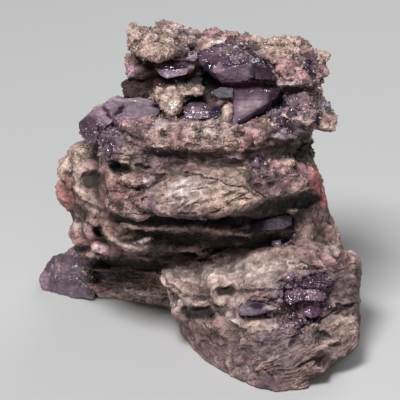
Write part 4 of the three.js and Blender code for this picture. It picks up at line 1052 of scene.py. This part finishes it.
def rock_blank():
    """The rock's main forms with its lumps, flakes and crumbs, as one even skin."""
    random = np.random.default_rng(7)
    points, faces = worn_forms()
    parts = [(points, faces), *hand_placed(depth_finder(points, faces))]
    shapes = broken_shapes(seed=3, count=14, corners=14, square=0.55)
    for count, wide, deep, thick, tilt, proud, wanted in SCATTER:
        spots, ways, _ = surface_spots(points, faces, count, random)
        keep = random.random(count) < wanted(spots, ways) * (1 - share(front(spots), CLEAR))
        keep &= spots[:, 2] > FLAKE_FLOOR
        spots, ways = spots[keep], ways[keep]
        count = len(spots)
        size = random.random((count, 1)) ** 1.5
        sizes = np.concatenate([low + (high - low) * size for low, high in (wide, deep, thick)], 1)
        matrices = turns(random, count, roll=tilt, pitch=tilt, yaw=25)
        reach = np.sum(np.abs(ways) * sizes / 2, 1) * 0.85 - proud * random.random(count)
        copies, sides, _ = scattered(shapes, spots - ways * reach[:, None], sizes, matrices, random)
        parts.append((copies, sides))
    blank = new_object("rock", *join(parts))
    one_skin(blank, ROCK_STEP)
    points, _ = arrays_of(blank)
    crisp = share(front(points), CRISP)[:, None]
    move_points(blank, points + (softened(blank, points, rounds=1) - points) * (1 - 0.6 * crisp))
    return blank


def line_distance(places, line):
    """How far each place is from a bent line of the front."""
    nearest = np.full(len(places), np.inf)
    for (x0, h0), (x1, h1) in zip(line, line[1:]):
        dx, dh = x1 - x0, h1 - h0
        t = ((places[:, 0] - x0) * dx + (places[:, 1] - h0) * dh) / (dx * dx + dh * dh)
        t = np.clip(t, 0, 1)
        far = np.hypot(places[:, 0] - x0 - t * dx, places[:, 1] - h0 - t * dh)
        nearest = np.minimum(nearest, far)
    return nearest


def crack_share(places, points, extra):
    """How deep in a crack each place is, with something extra on both sides. A crack wanders, and is wide
    here and closed there."""
    wander = wandering(places, points, 1.0, 3.0, 71)
    width = 0.7 + 0.9 * rough(points, 4.0, 76, 2)
    total = np.zeros(len(points))
    for line, deep, wide in CRACKS:
        half = extra + np.maximum(wide * width, 0.1) / 2
        total = np.maximum(total, deep * (1 - smooth(0, 1, line_distance(wander, line) / half)))
    return total


def billows(points, size, seed):
    """Round lumps with creases between them, from -1 in a crease to 1."""
    return 1 - 2 * np.sqrt(np.abs(rough(points, size, seed, 2)) + 0.001) * 1.2


def wandering(places, points, amount, size, seed):
    """Places moved about a little, so that an oval or a line on them gets a natural edge."""
    moved = places.copy()
    moved[:, 0] += amount * rough(points, size, seed, 2)
    moved[:, 1] += amount * rough(points, size, seed + 5, 2)
    return moved


def strata(points, slope, size, seed):
    """Thin layers with sharp edges, dipping in x, from -0.5 to 0.5."""
    level = points[:, 2] - math.tan(math.radians(slope)) * points[:, 0]
    level = level + 3.0 * size * rough(points, 7 * size, seed, 3)
    part = level / size
    return part - np.floor(part) - 0.5


def front_layers(points):
    """The thin layers of the lower block."""
    return strata(points, 20, 1.5, 41)


def back_layers(points):
    """The thick layers of the back."""
    return strata(points, 12, 3.6, 265)


def back_seams(points, wide, narrow):
    """The cracks of the back, from 0 at their wide edge to 1 in the narrow middle."""
    return smooth(wide, narrow, np.abs(rough(points, 15, 267, 2)))


def grain_lines(places, points):
    """Fine lines that climb to the right over the bare faces, from -1 to 1."""
    turn = math.radians(18)
    length, width = 4.5, 0.9
    along = places[:, 0] * math.cos(turn) + places[:, 1] * math.sin(turn)
    over = places[:, 1] * math.cos(turn) - places[:, 0] * math.sin(turn)
    stretched = np.stack([along / length, over / width, points[:, 1] / length], 1)
    return rough(stretched, 1.0, 231, 3)


def dashes(places, points):
    """Short thin cracks along those lines, from 0 to 1."""
    return share(places, LINED) * smooth(0.24, 0.4, -grain_lines(places, points))


def carve(obj):
    """Lumps, layers, crumbs, hollows and cracks, moved along the skin. Each step says how far it goes, in
    millimetres, before its pattern."""
    points, _ = arrays_of(obj)
    normals = normals_of(obj)
    places = front(points)
    away = turned_away(points, normals)
    front_side = 1 - away
    sugar = sugar_share(places)
    calm = share(places, CALM) * front_side
    wild = (1 - calm) * (1 - 0.5 * away)
    # Swells, round lumps and broken facets.
    move = 0.5 * rough(points, 9, 1, 3)
    move -= 0.34 * wild * billows(points, 5.0, 241)
    move -= 0.2 * wild * billows(points, 2.2, 251)
    move += 0.16 * wild * (1 - sugar) * facets(points, 3.0, 17, 0.5)
    # The sugary crust's grains.
    nearest, _, _ = grains(points, 1.3, 23)
    move += sugar * (0.08 - 0.16 * nearest)
    # Layers, which take the place of part of the lumps.
    lower = share(places, STRATA) * front_side
    move *= 1 - 0.5 * lower
    move += 0.5 * front_layers(points) * lower * smooth(-0.3, 0.2, rough(points, 8, 43, 2))
    move += 0.3 * strata(points, 3, 1.4, 45) * (share(places, LEVEL) * front_side)
    # The back's facets, layers, lumps and cracks.
    move += away * (0.4 * facets(points, 7.0, 263, 0.7) + 0.6 * back_layers(points))
    move -= away * (0.4 * billows(points, 8.0, 261) + 0.8 * back_seams(points, 0.04, 0.0))
    # Fine lines and short cracks, and fine facets and grit.
    move += 0.15 * share(places, LINED) * front_side * grain_lines(places, points)
    move -= 0.4 * dashes(places, points) * front_side
    move += 0.22 * calm * facets(points, 2.6, 19, 0.8)
    move += 0.14 * rough(points, 1.4, 51, 3)
    # The listed hollows and cracks go straight into the front, and small pits along the skin.
    sink = share(wandering(places, points, 1.3, 2.4, 61), PITS, soft=0.35)
    sink = np.maximum(sink, 0.8 * crack_share(places, points, 0.0))
    pits = smooth(0.55, 0.75, rough(points, 2.0, 81, 2))
    move -= 0.4 * pits * (1 - 0.5 * sugar)
    # Nothing moves at the underside, which stays flat.
    floor_share = smooth(0.0, 1.2, points[:, 2])
    moved = points + normals * (move * floor_share)[:, None]
    moved -= OUT_OF_FRONT * (sink * facing_front(normals) * floor_share)[:, None]
    moved[:, 2] = np.maximum(moved[:, 2], 0)
    move_points(obj, moved)


def decimate(obj, ratio, group=""):
    """Keeps this share of the triangles. Where a group is named, only what is in it goes."""
    thin = obj.modifiers.new("thin", "DECIMATE")
    thin.ratio = ratio
    thin.vertex_group = group
    thin.vertex_group_factor = 0.0
    thin.use_collapse_triangulate = True
    apply_modifiers(obj)


def thin_out(obj):
    """Fewer triangles: first on the back alone, then all over."""
    back = normals_of(obj) @ OUT_OF_FRONT < BACK_LIMIT
    _, faces = arrays_of(obj)
    back_faces = np.count_nonzero(back[faces[:, 0]])
    group = obj.vertex_groups.new(name="thin")
    group.add(np.nonzero(back)[0].tolist(), 1.0, "REPLACE")
    decimate(obj, (len(faces) - back_faces + BACK_TRIANGLES) / len(faces), group.name)
    obj.vertex_groups.clear()
    decimate(obj, ROCK_TRIANGLES / len(obj.data.polygons))


def mixed(colour, other, amount):
    """The colour moved towards another by an amount from 0 to 1."""
    return colour + (np.array(other) - colour) * np.clip(amount, 0, 1)[:, None]


def toned(base, places, rows, soft, amount=1.0):
    """The colours with a table's ovals painted over them, one after the other."""
    for x, h, across, up, slope, *_, colour, strength in rows:
        base = mixed(base, colour, oval(places, x, h, across, up, slope, soft) * strength * amount)
    return base


def paint(obj, colours):
    """Keeps a colour for each point of the mesh."""
    tint = obj.data.attributes.new("tint", "FLOAT_COLOR", "POINT")
    rgba = np.concatenate([np.clip(colours, DARKEST, LIGHTEST), np.ones((len(colours), 1))], 1)
    tint.data.foreach_set("color", rgba.astype(np.float32).ravel())


def colour_rock(obj):
    """Paints the rock: mottling all over, the back's layers and veins, then what the front shows, with
    painted shade in its hollows, cracks, grooves and recesses and under ledges, and painted light on
    its rims and on some faces.
    """
    points, _ = arrays_of(obj)
    normals = normals_of(obj)
    places = front(points)
    ahead = seen_from_front(normals)
    away = turned_away(points, normals)
    base = np.tile(np.array(TAN) * 0.75, (len(points), 1))
    for colour, where, start, swing, size, seed in (
        (ROSE, 1, 0.5, 1.0, 10, 101),
        (UMBER, 1, 0.25, 1.8, 4.5, 106),
        (CREAM, 1, 0.1, 1.6, 3, 111),
        (MAUVE, 1, 0.2 * sugar_share(places) - 0.1, 1.8, 6, 121),
        (PURPLE, 1, -0.9, 2.4, 5, 131),
        (CREAM, away, 0.1, 3.0, 15, 301),
        (ROSE, away, 0.0, 3.0, 11, 303),
        (UMBER, away, 0.0, 3.0, 7, 306),
    ):
        base = mixed(base, colour, where * (start + swing * rough(points, size, seed, 3)))
    base = mixed(base, UMBER, away * 0.7 * smooth(0.28, 0.5, np.abs(back_layers(points))))
    base = mixed(base, PLUM, away * 0.8 * veins(points))
    # Painted shade in the back's cracks.
    base = mixed(base, SHADE_BLACK, away * 0.9 * back_seams(points, 0.07, 0.01))
    wander = wandering(places, points, 1.3, 3.5, 141)
    base = toned(base, wander, TONES, 0.5, ahead)
    base = mixed(base, SALMON, share(wander, STAINS) * ahead * smooth(-32, -24, places[:, 2]))
    wander = wandering(places, points, 0.6, 2.0, 146)
    base = toned(base, wander, KNOBS + SLABS + PITS, 0.3, ahead)
    # Painted shade along the cracks.
    base = mixed(base, SHADE_BLACK, 0.6 * crack_share(places, points, 0.15) * ahead)
    # Each grain has a shade of its own.
    _, number, _ = grains(points, 1.1, 151)
    base *= (0.82 + 0.36 * number)[:, None]
    base *= (0.92 + 0.5 * rough(points, 1.6, 161, 3))[:, None]
    # Painted shade along the short cracks.
    base = mixed(base, SHADE_BLACK, 0.5 * dashes(places, points) * ahead)
    edges = smooth(0.3, 0.5, np.abs(front_layers(points)))
    base = mixed(base, UMBER, 0.35 * share(places, STRATA) * ahead * edges)
    # Painted shade darkens grooves of three sizes, and painted light makes rims lighter.
    even = share(places, CALM) * ahead
    for rounds, full, strength in ((3, 0.14, 0.3), (14, 0.45, 0.5), (60, 1.5, 0.4)):
        groove = hollow(obj, points, normals, rounds, full)
        base = mixed(base, SHADE_BLACK, strength * groove * (1 - 0.5 * even))
        base *= (1 + 0.22 * np.maximum(-groove, 0))[:, None]
    # Painted shade on faces that look down.
    base = mixed(base, SHADE_BLACK, 0.1 * smooth(0.0, 0.8, -normals[:, 2]))
    paint(obj, base)


# Materials


def link(tree, source, output, target, name):
    """Joins a node's output to another's input."""
    tree.links.new(source.outputs[output], target.inputs[name])


def new_material(name):
    """A material, its node tree and its surface."""
    material = bpy.data.materials.new(name)
    material.use_nodes = True
    tree = material.node_tree
    return material, tree, tree.nodes["Principled BSDF"]


def set_inputs(node, values):
    """Sets a node's own values."""
    for name, value in values.items():
        node.inputs[name].default_value = value


def scaled_coordinates(tree, scale):
    """Object coordinates, so many to the millimetre."""
    coordinates = tree.nodes.new("ShaderNodeTexCoord")
    mapping = tree.nodes.new("ShaderNodeMapping")
    set_inputs(mapping, {"Scale": [s / MM for s in scale]})
    link(tree, coordinates, "Object", mapping, "Vector")
    return mapping


def noise(tree, coordinates, scale, detail):
    """A cloudy pattern."""
    node = tree.nodes.new("ShaderNodeTexNoise")
    set_inputs(node, {"Scale": scale, "Detail": detail})
    link(tree, coordinates, "Vector", node, "Vector")
    return node


def ranged(tree, source, output, low, high, to_low, to_high):
    """A value from low to high, spread to another range."""
    node = tree.nodes.new("ShaderNodeMapRange")
    set_inputs(node, {"From Min": low, "From Max": high, "To Min": to_low, "To Max": to_high})
    link(tree, source, output, node, "Value")
    return node


def tinted(tree, surface, mottle, low, high):
    """The painted colour, lighter and darker with the mottle."""
    tint = tree.nodes.new("ShaderNodeVertexColor")
    tint.layer_name = "tint"
    strength = ranged(tree, mottle, "Fac", 0.3, 0.7, low, high)
    colour = tree.nodes.new("ShaderNodeVectorMath")
    colour.operation = "SCALE"
    link(tree, tint, "Color", colour, "Vector")
    link(tree, strength, "Result", colour, "Scale")
    link(tree, colour, "Vector", surface, "Base Color")


def bumped(tree, source, output, distance, strength, below=None):
    """Fine relief from a pattern, at most the distance deep, in millimetres, on the relief below it."""
    bump = tree.nodes.new("ShaderNodeBump")
    set_inputs(bump, {"Strength": strength, "Distance": distance * MM})
    link(tree, source, output, bump, "Height")
    if below:
        link(tree, below, "Normal", bump, "Normal")
    return bump


def rock_material(name, rough_low, rough_high, shine):
    """Grainy stone, where each grain has a roughness of its own."""
    material, tree, surface = new_material(name)
    set_inputs(surface, {"Specular IOR Level": shine})
    fine = scaled_coordinates(tree, (1.0, 1.0, 1.0))
    mottle = noise(tree, fine, scale=1.6, detail=8)
    tinted(tree, surface, mottle, low=0.7, high=1.3)
    grain = tree.nodes.new("ShaderNodeTexVoronoi")
    set_inputs(grain, {"Scale": 2.2})
    link(tree, fine, "Vector", grain, "Vector")
    roughness = ranged(tree, grain, "Color", 0, 1, rough_low, rough_high)
    link(tree, roughness, "Result", surface, "Roughness")
    bump = bumped(tree, grain, "Distance", distance=0.25, strength=0.6)
    bump = bumped(tree, mottle, "Fac", distance=0.6, strength=0.8, below=bump)
    link(tree, bump, "Normal", surface, "Normal")
    return material


def fluorite_material(name, absorbed, density, clear, rough_low, rough_high, gloss):
    """Clear fluorite: what is see-through is tinted by its depth, the rest by its painted colour."""
    material, tree, surface = new_material(name)
    set_inputs(surface, {"IOR": 1.434, "Transmission Weight": clear})
    set_inputs(surface, {"Coat Weight": gloss, "Coat Roughness": 0.05})
    absorb = tree.nodes.new("ShaderNodeVolumeAbsorption")
    set_inputs(absorb, {"Color": (*absorbed, 1), "Density": density / MM})
    link(tree, absorb, "Volume", tree.nodes["Material Output"], "Volume")
    fine = scaled_coordinates(tree, (0.6, 0.6, 1.6))
    cloud = noise(tree, fine, scale=0.9, detail=5)
    tinted(tree, surface, cloud, low=0.7, high=1.3)
    roughness = ranged(tree, cloud, "Fac", 0.35, 0.65, rough_low, rough_high)
    link(tree, roughness, "Result", surface, "Roughness")
    bump = bumped(tree, cloud, "Fac", distance=0.25, strength=0.4)
    link(tree, bump, "Normal", surface, "Normal")
    return material


def stand_in(obj, node, material):
    """Puts a finished mesh in the place of a CAD node."""
    obj.data.shade_flat()
    obj.data.materials.clear()
    obj.data.materials.append(material)
    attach(obj, "root")
    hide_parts(node)


# The crystals

BODY = (0.19, 0.098, 0.162)
PALE = (0.37, 0.25, 0.34)
GREY = (0.235, 0.182, 0.222)
DEEP = (0.055, 0.03, 0.048)
INDIGO = (0.028, 0.016, 0.042)
GLOW = (0.51, 0.335, 0.44)
LAVENDER = (0.37, 0.285, 0.345)

# Zones of colour in the crystals: x, h, across, up, slope, colour, strength. Some rows are painted
# shade, painted light or painted highlights, as marked.
ZONES = (
    # The large crystal under the cap: its upper face, its rim, its front and its left edge. The white
    # rows are painted glints on its upper face, the glow rows painted light, and the dark rows on its
    # right face, its right edge and its left edge painted shade.
    (11, 101.6, 18, 7, -18, PLUM, 0.8),
    (7, 102.6, 9, 2, 12, WHITE, 0.35),
    (11.6, 100.6, 5, 1.2, 20, WHITE, 0.3),
    (15.6, 99, 1.4, 5, -30, PALE, 0.8),
    (16, 101.8, 15, 3, -38, DEEP, 0.97),
    (19.6, 97, 8, 9, -40, DEEP, 0.95),
    (10.4, 95.6, 9.6, 4.4, 6, PALE, 0.25),
    (13, 95.4, 3.4, 3, 0, GLOW, 0.4),
    (9, 98.4, 11, 0.9, 8, INDIGO, 0.7),
    (2.4, 97.6, 2.8, 5.4, -60, INDIGO, 0.95),
    (5.4, 97, 3.6, 2.6, 20, GLOW, 0.8),
    (15.9, 96.4, 1.5, 4.4, 0, INDIGO, 0.9),
    # The small one left of it.
    (-7, 95.6, 9, 2.4, 8, GLOW, 0.95),
    (-8, 98.4, 10, 2.6, 0, MAUVE, 0.8),
    (-7.4, 97.5, 8, 0.8, 4, INDIGO, 0.9),
    (-2.2, 97.6, 2, 2.4, 0, OCHRE, 0.8),
    (-5, 101, 7, 3, 0, MAUVE, 0.8),
    (-11.4, 95.4, 4, 1.6, -35, GLOW, 0.8),
    # The pale one on the left of the shelf. The lavender of its top face is a painted reflection of the
    # light above, the glow on its left face is painted light, and the white along its upper edges is a
    # painted highlight.
    (-17.5, 85.4, 12, 5.4, 0, LAVENDER, 0.9),
    (-29, 82.6, 6.4, 4.4, -30, GLOW, 0.9),
    (-24.2, 84.6, 1.5, 5, -48, INDIGO, 0.95),
    (-28, 84.2, 1.1, 7, 38, DEEP, 0.95),
    (-33.5, 78.4, 6.4, 7, 0, MAUVE, 0.9),
    (-33.6, 78.8, 6.6, 8, 0, PLUM, 0.8),
    (-33.6, 78.8, 6.6, 8, 0, MAROON, 0.4),
    (-27, 79, 10, 3, -20, PLUM, 0.8),
    (-31.6, 85.4, 3.6, 1.8, 20, PINK, 0.6),
    (-26, 88.4, 16, 1, 30, WHITE, 0.8),
    (-20.4, 87.6, 14, 0.8, 0, WHITE, 0.7),
    # The middle of the shelf.
    (-1, 83.2, 8, 3.4, 0, PALE, 0.8),
    (-1.5, 84.8, 3, 1.6, 10, GLOW, 0.9),
    (0, 86.4, 9, 2.4, 0, GREY, 0.8),
    (4.8, 83.6, 3.4, 4.2, 0, INDIGO, 0.95),
    (-6.4, 82, 4, 2.2, 0, BODY, 0.8),
    # The plate, the tile and the three-cornered face with its dark edge. The plate's grey is painted
    # light in the shade over it; the glow and the white on the three-cornered face are painted light and a
    # painted highlight; the indigo of its dark edge is painted shade.
    (16, 91.4, 15, 3, 0, BODY, 0.8),
    (16, 88.8, 15, 2.6, 0, GREY, 0.9),
    (7, 89.8, 6.2, 3.2, 0, SLATE, 0.95),
    (14.4, 85.4, 11, 5.4, 20, GLOW, 0.98),
    (14.4, 85.8, 7, 2.6, 20, WHITE, 0.6),
    (11, 82, 3.4, 4.4, 0, PALE, 0.8),
    (18, 83.2, 19, 4.6, 32, INDIGO, 0.97),
    (23, 88.6, 5, 5, 0, DEEP, 0.9),
    # The recess. The crystal there is painted very dark: its own dark violet, and painted shade.
    (21, 52, 28, 14, 0, DEEP, 1),
    (22, 52.6, 9, 1.6, 6, GREY, 0.15),
    # The pocket, and the lump left of it.
    (35, 34, 10, 4, 0, DEEP, 0.8),
    (23.6, 29.4, 4, 5, 0, DEEP, 0.8),
    (28.6, 30.2, 4.6, 3, 0, HEATHER, 0.7),
    (33, 30.6, 3.4, 1.4, 0, WHITE, 0.9),
    (14.6, 24.8, 6, 4.4, 0, GREY, 0.9),
    (17.2, 25.8, 4.4, 2, 0, INDIGO, 0.97),
    (21.8, 25.4, 5, 1.8, 0, WHITE, 0.97),
    (21.6, 27.6, 7, 1.6, 0, DEEP, 0.9),
    (21, 23.2, 8.6, 2.2, 0, DEEP, 0.9),
    (34.4, 28.8, 4.6, 2.6, 0, HEATHER, 0.9),
    # The foot.
    (-40, 36, 22, 20, 0, MAUVE, 0.9),
    (-40, 36, 22, 20, 0, PLUM, 0.35),
    (-40, 37, 10, 6, 0, GREY, 0.4),
    (-41.4, 37.6, 4.6, 3, 0, PINK, 0.5),
    (-35, 36.4, 4.6, 1.4, -25, CREAM, 0.7),
    (-38, 30.4, 12, 3.6, -8, LILAC, 0.3),
    (-46.6, 33.6, 2.6, 6, 0, GLOW, 0.6),
    (-30.6, 34, 6, 14, 0, UMBER, 0.97),
)

# Notches in the crystals: x, h, across, up, slope, depth.
NOTCHES = (
    (-24.2, 84.6, 1.2, 5, -48, 0.6),
    (-28, 84.2, 1, 7, 38, 0.6),
    (9, 98.4, 12, 0.9, 8, 0.4),
    (-7.4, 97.4, 8, 0.8, 4, 0.4),
    (16.4, 101, 12, 1, -38, 0.4),
    (20, 84.6, 14, 1, 32, 0.5),
    (16, 90.2, 14, 0.7, 3, 0.4),
    (3.2, 83.6, 0.9, 4, 0, 0.4),
)

# The finishes of fluorite: the colour and the density of what its depth absorbs, how clear it is, its
# lowest and highest roughness, and its gloss.
FINISHES = {
    "fluorite": ((0.72, 0.50, 0.66), 0.1, 0.5, 0.04, 0.22, 0.6),
    "fluorite_pale": ((0.82, 0.66, 0.78), 0.06, 0.35, 0.08, 0.35, 0.6),
    "fluorite_dull": ((0.72, 0.50, 0.66), 0.1, 0.3, 0.35, 0.65, 0.0),
}

# Each crystal's pitch, yaw and roll in degrees, how coarse its steps are, and its finish.
CRYSTALS = {
    "crystal_top_center": ((46, 12, 14), 1.9, "fluorite"),
    "crystal_top_left": ((20, 22, 4), 1.4, "fluorite"),
    "crystal_left_shelf": ((33, 24, 6), 2.2, "fluorite_pale"),
    "crystal_mid": ((14, -24, -2), 1.3, "fluorite"),
    "crystal_right_shelf": ((40, 0, 30), 1.6, "fluorite"),
    "crystal_recess": ((14, -14, 4), 1.6, "fluorite_dull"),
    "crystal_pocket_upper": ((30, -16, 10), 1.0, "fluorite"),
    "crystal_pocket_middle": ((24, 18, 8), 1.0, "fluorite"),
    "crystal_pocket_lower": ((30, 26, -14), 0.9, "fluorite"),
    "crystal_lower_lump": ((34, 14, 6), 1.1, "fluorite_dull"),
    "fluorite_foot": ((20, 30, 0), 3.0, "fluorite_pale"),
}


def crystal(name, finishes):
    """A crystal with stepped faces, small chips and zones of colour, some of them painted shade and
    painted light.
    """
    angles, size, finish = CRYSTALS[name]
    obj = new_object(name + "_skin", *arrays_of(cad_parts[name]))
    one_skin(obj, CRYSTAL_STEP)
    without_scraps(obj)
    points, _ = arrays_of(obj)
    normals = normals_of(obj)
    places = front(points)
    pitch, yaw, roll = (math.radians(angle) for angle in angles)
    turn = Matrix.Rotation(roll, 3, "Y") @ Matrix.Rotation(pitch, 3, "X") @ Matrix.Rotation(yaw, 3, "Z")
    turned = points @ np.array(turn)
    # Steps of four heights, coarse ones and smaller ones on them.
    move = np.zeros(len(points))
    for part, height, seed in ((1.0, 0.16, 3), (0.45, 0.08, 9)):
        cells = np.floor(turned / (size * part) + 0.35 * rough(points, size * 2, seed, 2)[:, None])
        move += height * (np.round(scramble(cells, seed) * 3) / 3 - 0.6)
    move += 0.05 * rough(points, 0.9, 15, 2)
    # Broken places, most of them where the crystal is frosted. The recess's crystal has few, and the foot's
    # mass has lumps of its own.
    broken = np.clip(share(places, FROST) * 4, 0.12, 1)
    if name == "crystal_recess":
        broken *= 0.2
    move += 0.35 * broken * facets(points, 1.2, 27, 0.6)
    if name == "fluorite_foot":
        move += 0.6 * rough(points, 5.0, 16, 3) - 0.3 * billows(points, 3.0, 18)
    wander = wandering(places, points, 0.4, 2.0, 173)
    for x, h, across, up, slope, depth in NOTCHES:
        move -= depth * oval(wander, x, h, across, up, slope, 0.4)
    moved = points + normals * move[:, None]
    moved[:, 2] = np.maximum(moved[:, 2], 0.02)
    move_points(obj, moved)
    # Zones of colour, some of them painted shade and painted light, then painted shade in the grooves and
    # painted light on the rims.
    pale = finish == "fluorite_pale"
    base = np.tile(np.array(PALE if pale else BODY), (len(points), 1))
    base = toned(base, wandering(places, points, 0.5, 2.0, 171), ZONES, 0.4)
    base *= (1 + 0.35 * rough(points, 2.0, 181, 3))[:, None]
    groove = hollow(obj, points, normals, rounds=4, full=0.15)
    base = mixed(base, INDIGO, 0.5 * groove)
    base *= (1 + 0.5 * np.maximum(-groove, 0))[:, None]
    paint(obj, base)
    stand_in(obj, name, finishes[finish])
    return obj


# The small grains


def coat_spots(obj, wanted, random, tries):
    """Spots for grains on a piece, with the way out of it and the piece's colour there."""
    points, faces = arrays_of(obj)
    spots, ways, picked = surface_spots(points, faces, tries, random)
    patchy = 0.55 + 0.9 * rough(spots, 4.0, 191, 2)
    keep = random.random(tries) < wanted(spots, ways) * patchy
    keep &= (spots[:, 2] > GRAIN_FLOOR) & (spots[:, 2] < GRAIN_CEILING)
    tints = values_of(obj.data.attributes["tint"].data, "color", 4, np.float32)[faces[picked, 0], :3]
    return spots[keep], ways[keep], tints[keep]


def grain_sizes(random, count, least, spread):
    """Sizes of grains, few of them large, and uneven from side to side."""
    return (least + spread * random.random((count, 1)) ** 2) * (0.7 + 0.6 * random.random((count, 3)))


def coat(name, spots, ways, sizes, tints, shapes, material, random):
    """Many small solids half sunk in what they sit on, as one piece."""
    matrices = turns(random, len(spots), roll=90, pitch=90, yaw=90)
    points, faces, owners = scattered(shapes, spots + ways * GRAIN_LIFT, sizes, matrices, random)
    obj = new_object(name, points, faces)
    paint(obj, tints[owners])
    obj.data.materials.append(material)
    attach(obj, "root")


def quartz_sugar(name, found, seed, material):
    """Tiny quartz grains at the spots found, lighter than what they sit on."""
    random = np.random.default_rng(seed)
    spots, ways, tints = (np.concatenate(parts) for parts in zip(*found))
    count = len(spots)
    sizes = grain_sizes(random, count, least=0.4, spread=0.7)
    tints = tints * (0.8 + 0.8 * random.random((count, 1)) ** 2)
    tints[random.random(count) < 0.05] = WHITE
    shapes = broken_shapes(seed=41, count=10, corners=8, square=0.7)
    coat(name, spots, ways, sizes, tints, shapes, material, random)


def front_sugar(rock, crystals, material):
    """The quartz in the front's crust, and the frost on the crystals."""
    def crust(points, ways):
        return sugar_share(front(points)) * facing_front(ways)

    def frost(points, _):
        return share(front(points), FROST)

    random = np.random.default_rng(31)
    found = [coat_spots(rock, crust, random, tries=150000)]
    found += [coat_spots(obj, frost, random, tries=6000) for obj in crystals]
    quartz_sugar("quartz_sugar", found, 32, material)


def back_sugar(rock, material):
    """The quartz on the back, most of it in the veins."""
    def crust(points, ways):
        return turned_away(points, ways) * (0.08 + veins(points))

    random = np.random.default_rng(33)
    found = [coat_spots(rock, crust, random, tries=60000)]
    quartz_sugar("quartz_sugar_back", found, 34, material)


def fluorite_chips(rock, material):
    """Small broken crystals of fluorite in the rock, on the front and in the back's veins."""
    def ahead(points, ways):
        return share(front(points), CHIPS) * facing_front(ways)

    def away(points, ways):
        return 0.6 * turned_away(points, ways) * veins(points) * (points[:, 2] < CHIP_CEILING)

    random = np.random.default_rng(37)
    found = [coat_spots(rock, ahead, random, tries=30000), coat_spots(rock, away, random, tries=12000)]
    spots, ways, _ = (np.concatenate(parts) for parts in zip(*found))
    spots[:, 2] = np.maximum(spots[:, 2], CHIP_FLOOR)
    count = len(spots)
    sizes = grain_sizes(random, count, least=0.8, spread=2.0)
    shades = np.array([DEEP, BODY, BODY, PLUM, PALE, PALE, HEATHER, GLOW])
    tints = shades[random.integers(len(shades), size=count)]
    shapes = broken_shapes(seed=43, count=10, corners=9, square=0.4)
    coat("fluorite_chips", spots, ways, sizes, tints, shapes, material, random)


# The studio


def studio():
    """A plain pale floor and world, and three soft lights."""
    scene = bpy.context.scene
    scene.view_settings.view_transform = "Standard"
    half = 1.5
    mesh = bpy.data.meshes.new("floor")
    corners = [(-half, -half, 0), (half, -half, 0), (half, half, 0), (-half, half, 0)]
    mesh.from_pydata(corners, [], [(0, 1, 2, 3)])
    floor = added("floor", mesh)
    material, _, surface = new_material("pale_floor")
    set_inputs(surface, {"Base Color": (0.54, 0.54, 0.54, 1), "Roughness": 0.9})
    mesh.materials.append(material)
    world = bpy.data.worlds.new("studio")
    world.use_nodes = True
    set_inputs(world.node_tree.nodes["Background"], {"Color": (0.9, 0.95, 1.0, 1), "Strength": 0.07})
    scene.world = world
    middle = Vector((0, 0, 0.05))
    for name, where, size, power in (
        ("key", (-0.24, -0.45, 0.93), 0.34, 11.9),
        ("fill", (0.30, -0.75, 0.25), 0.5, 1.1),
        ("back", (0.40, 0.80, 0.55), 0.6, 4.0),
    ):
        data = bpy.data.lights.new(name, "AREA")
        data.size = size
        data.energy = power
        lamp = added(name, data)
        lamp.location = where
        lamp.rotation_mode = "QUATERNION"
        lamp.rotation_quaternion = (middle - Vector(where)).to_track_quat("-Z", "Y")


def camera():
    """Looks square at the front, from where the front's places are laid out."""
    data = bpy.data.cameras.new("camera")
    data.lens = 300
    data.sensor_width = 36
    data.clip_start = 0.05
    data.clip_end = 20
    obj = added("camera", data)
    matrix = Matrix(np.stack([ACROSS, UP_FRONT, OUT_OF_FRONT], 1).tolist()).to_4x4()
    matrix.translation = Vector(place([(0, SIGHT_HEIGHT, SIGHT_DISTANCE)])[0] * MM)
    obj.matrix_world = matrix
    bpy.context.scene.camera = obj


camera()
studio()

rock = rock_blank()
carve(rock)
thin_out(rock)
without_scraps(rock)
colour_rock(rock)
stand_in(rock, "matrix", rock_material("rock", rough_low=0.45, rough_high=0.95, shine=0.25))

finishes = {name: fluorite_material(name, *values) for name, values in FINISHES.items()}
crystals = [crystal(name, finishes) for name in CRYSTALS]

quartz = rock_material("quartz", rough_low=0.12, rough_high=0.4, shine=0.5)
front_sugar(rock, crystals, quartz)
back_sugar(rock, quartz)
fluorite_chips(rock, finishes["fluorite"])
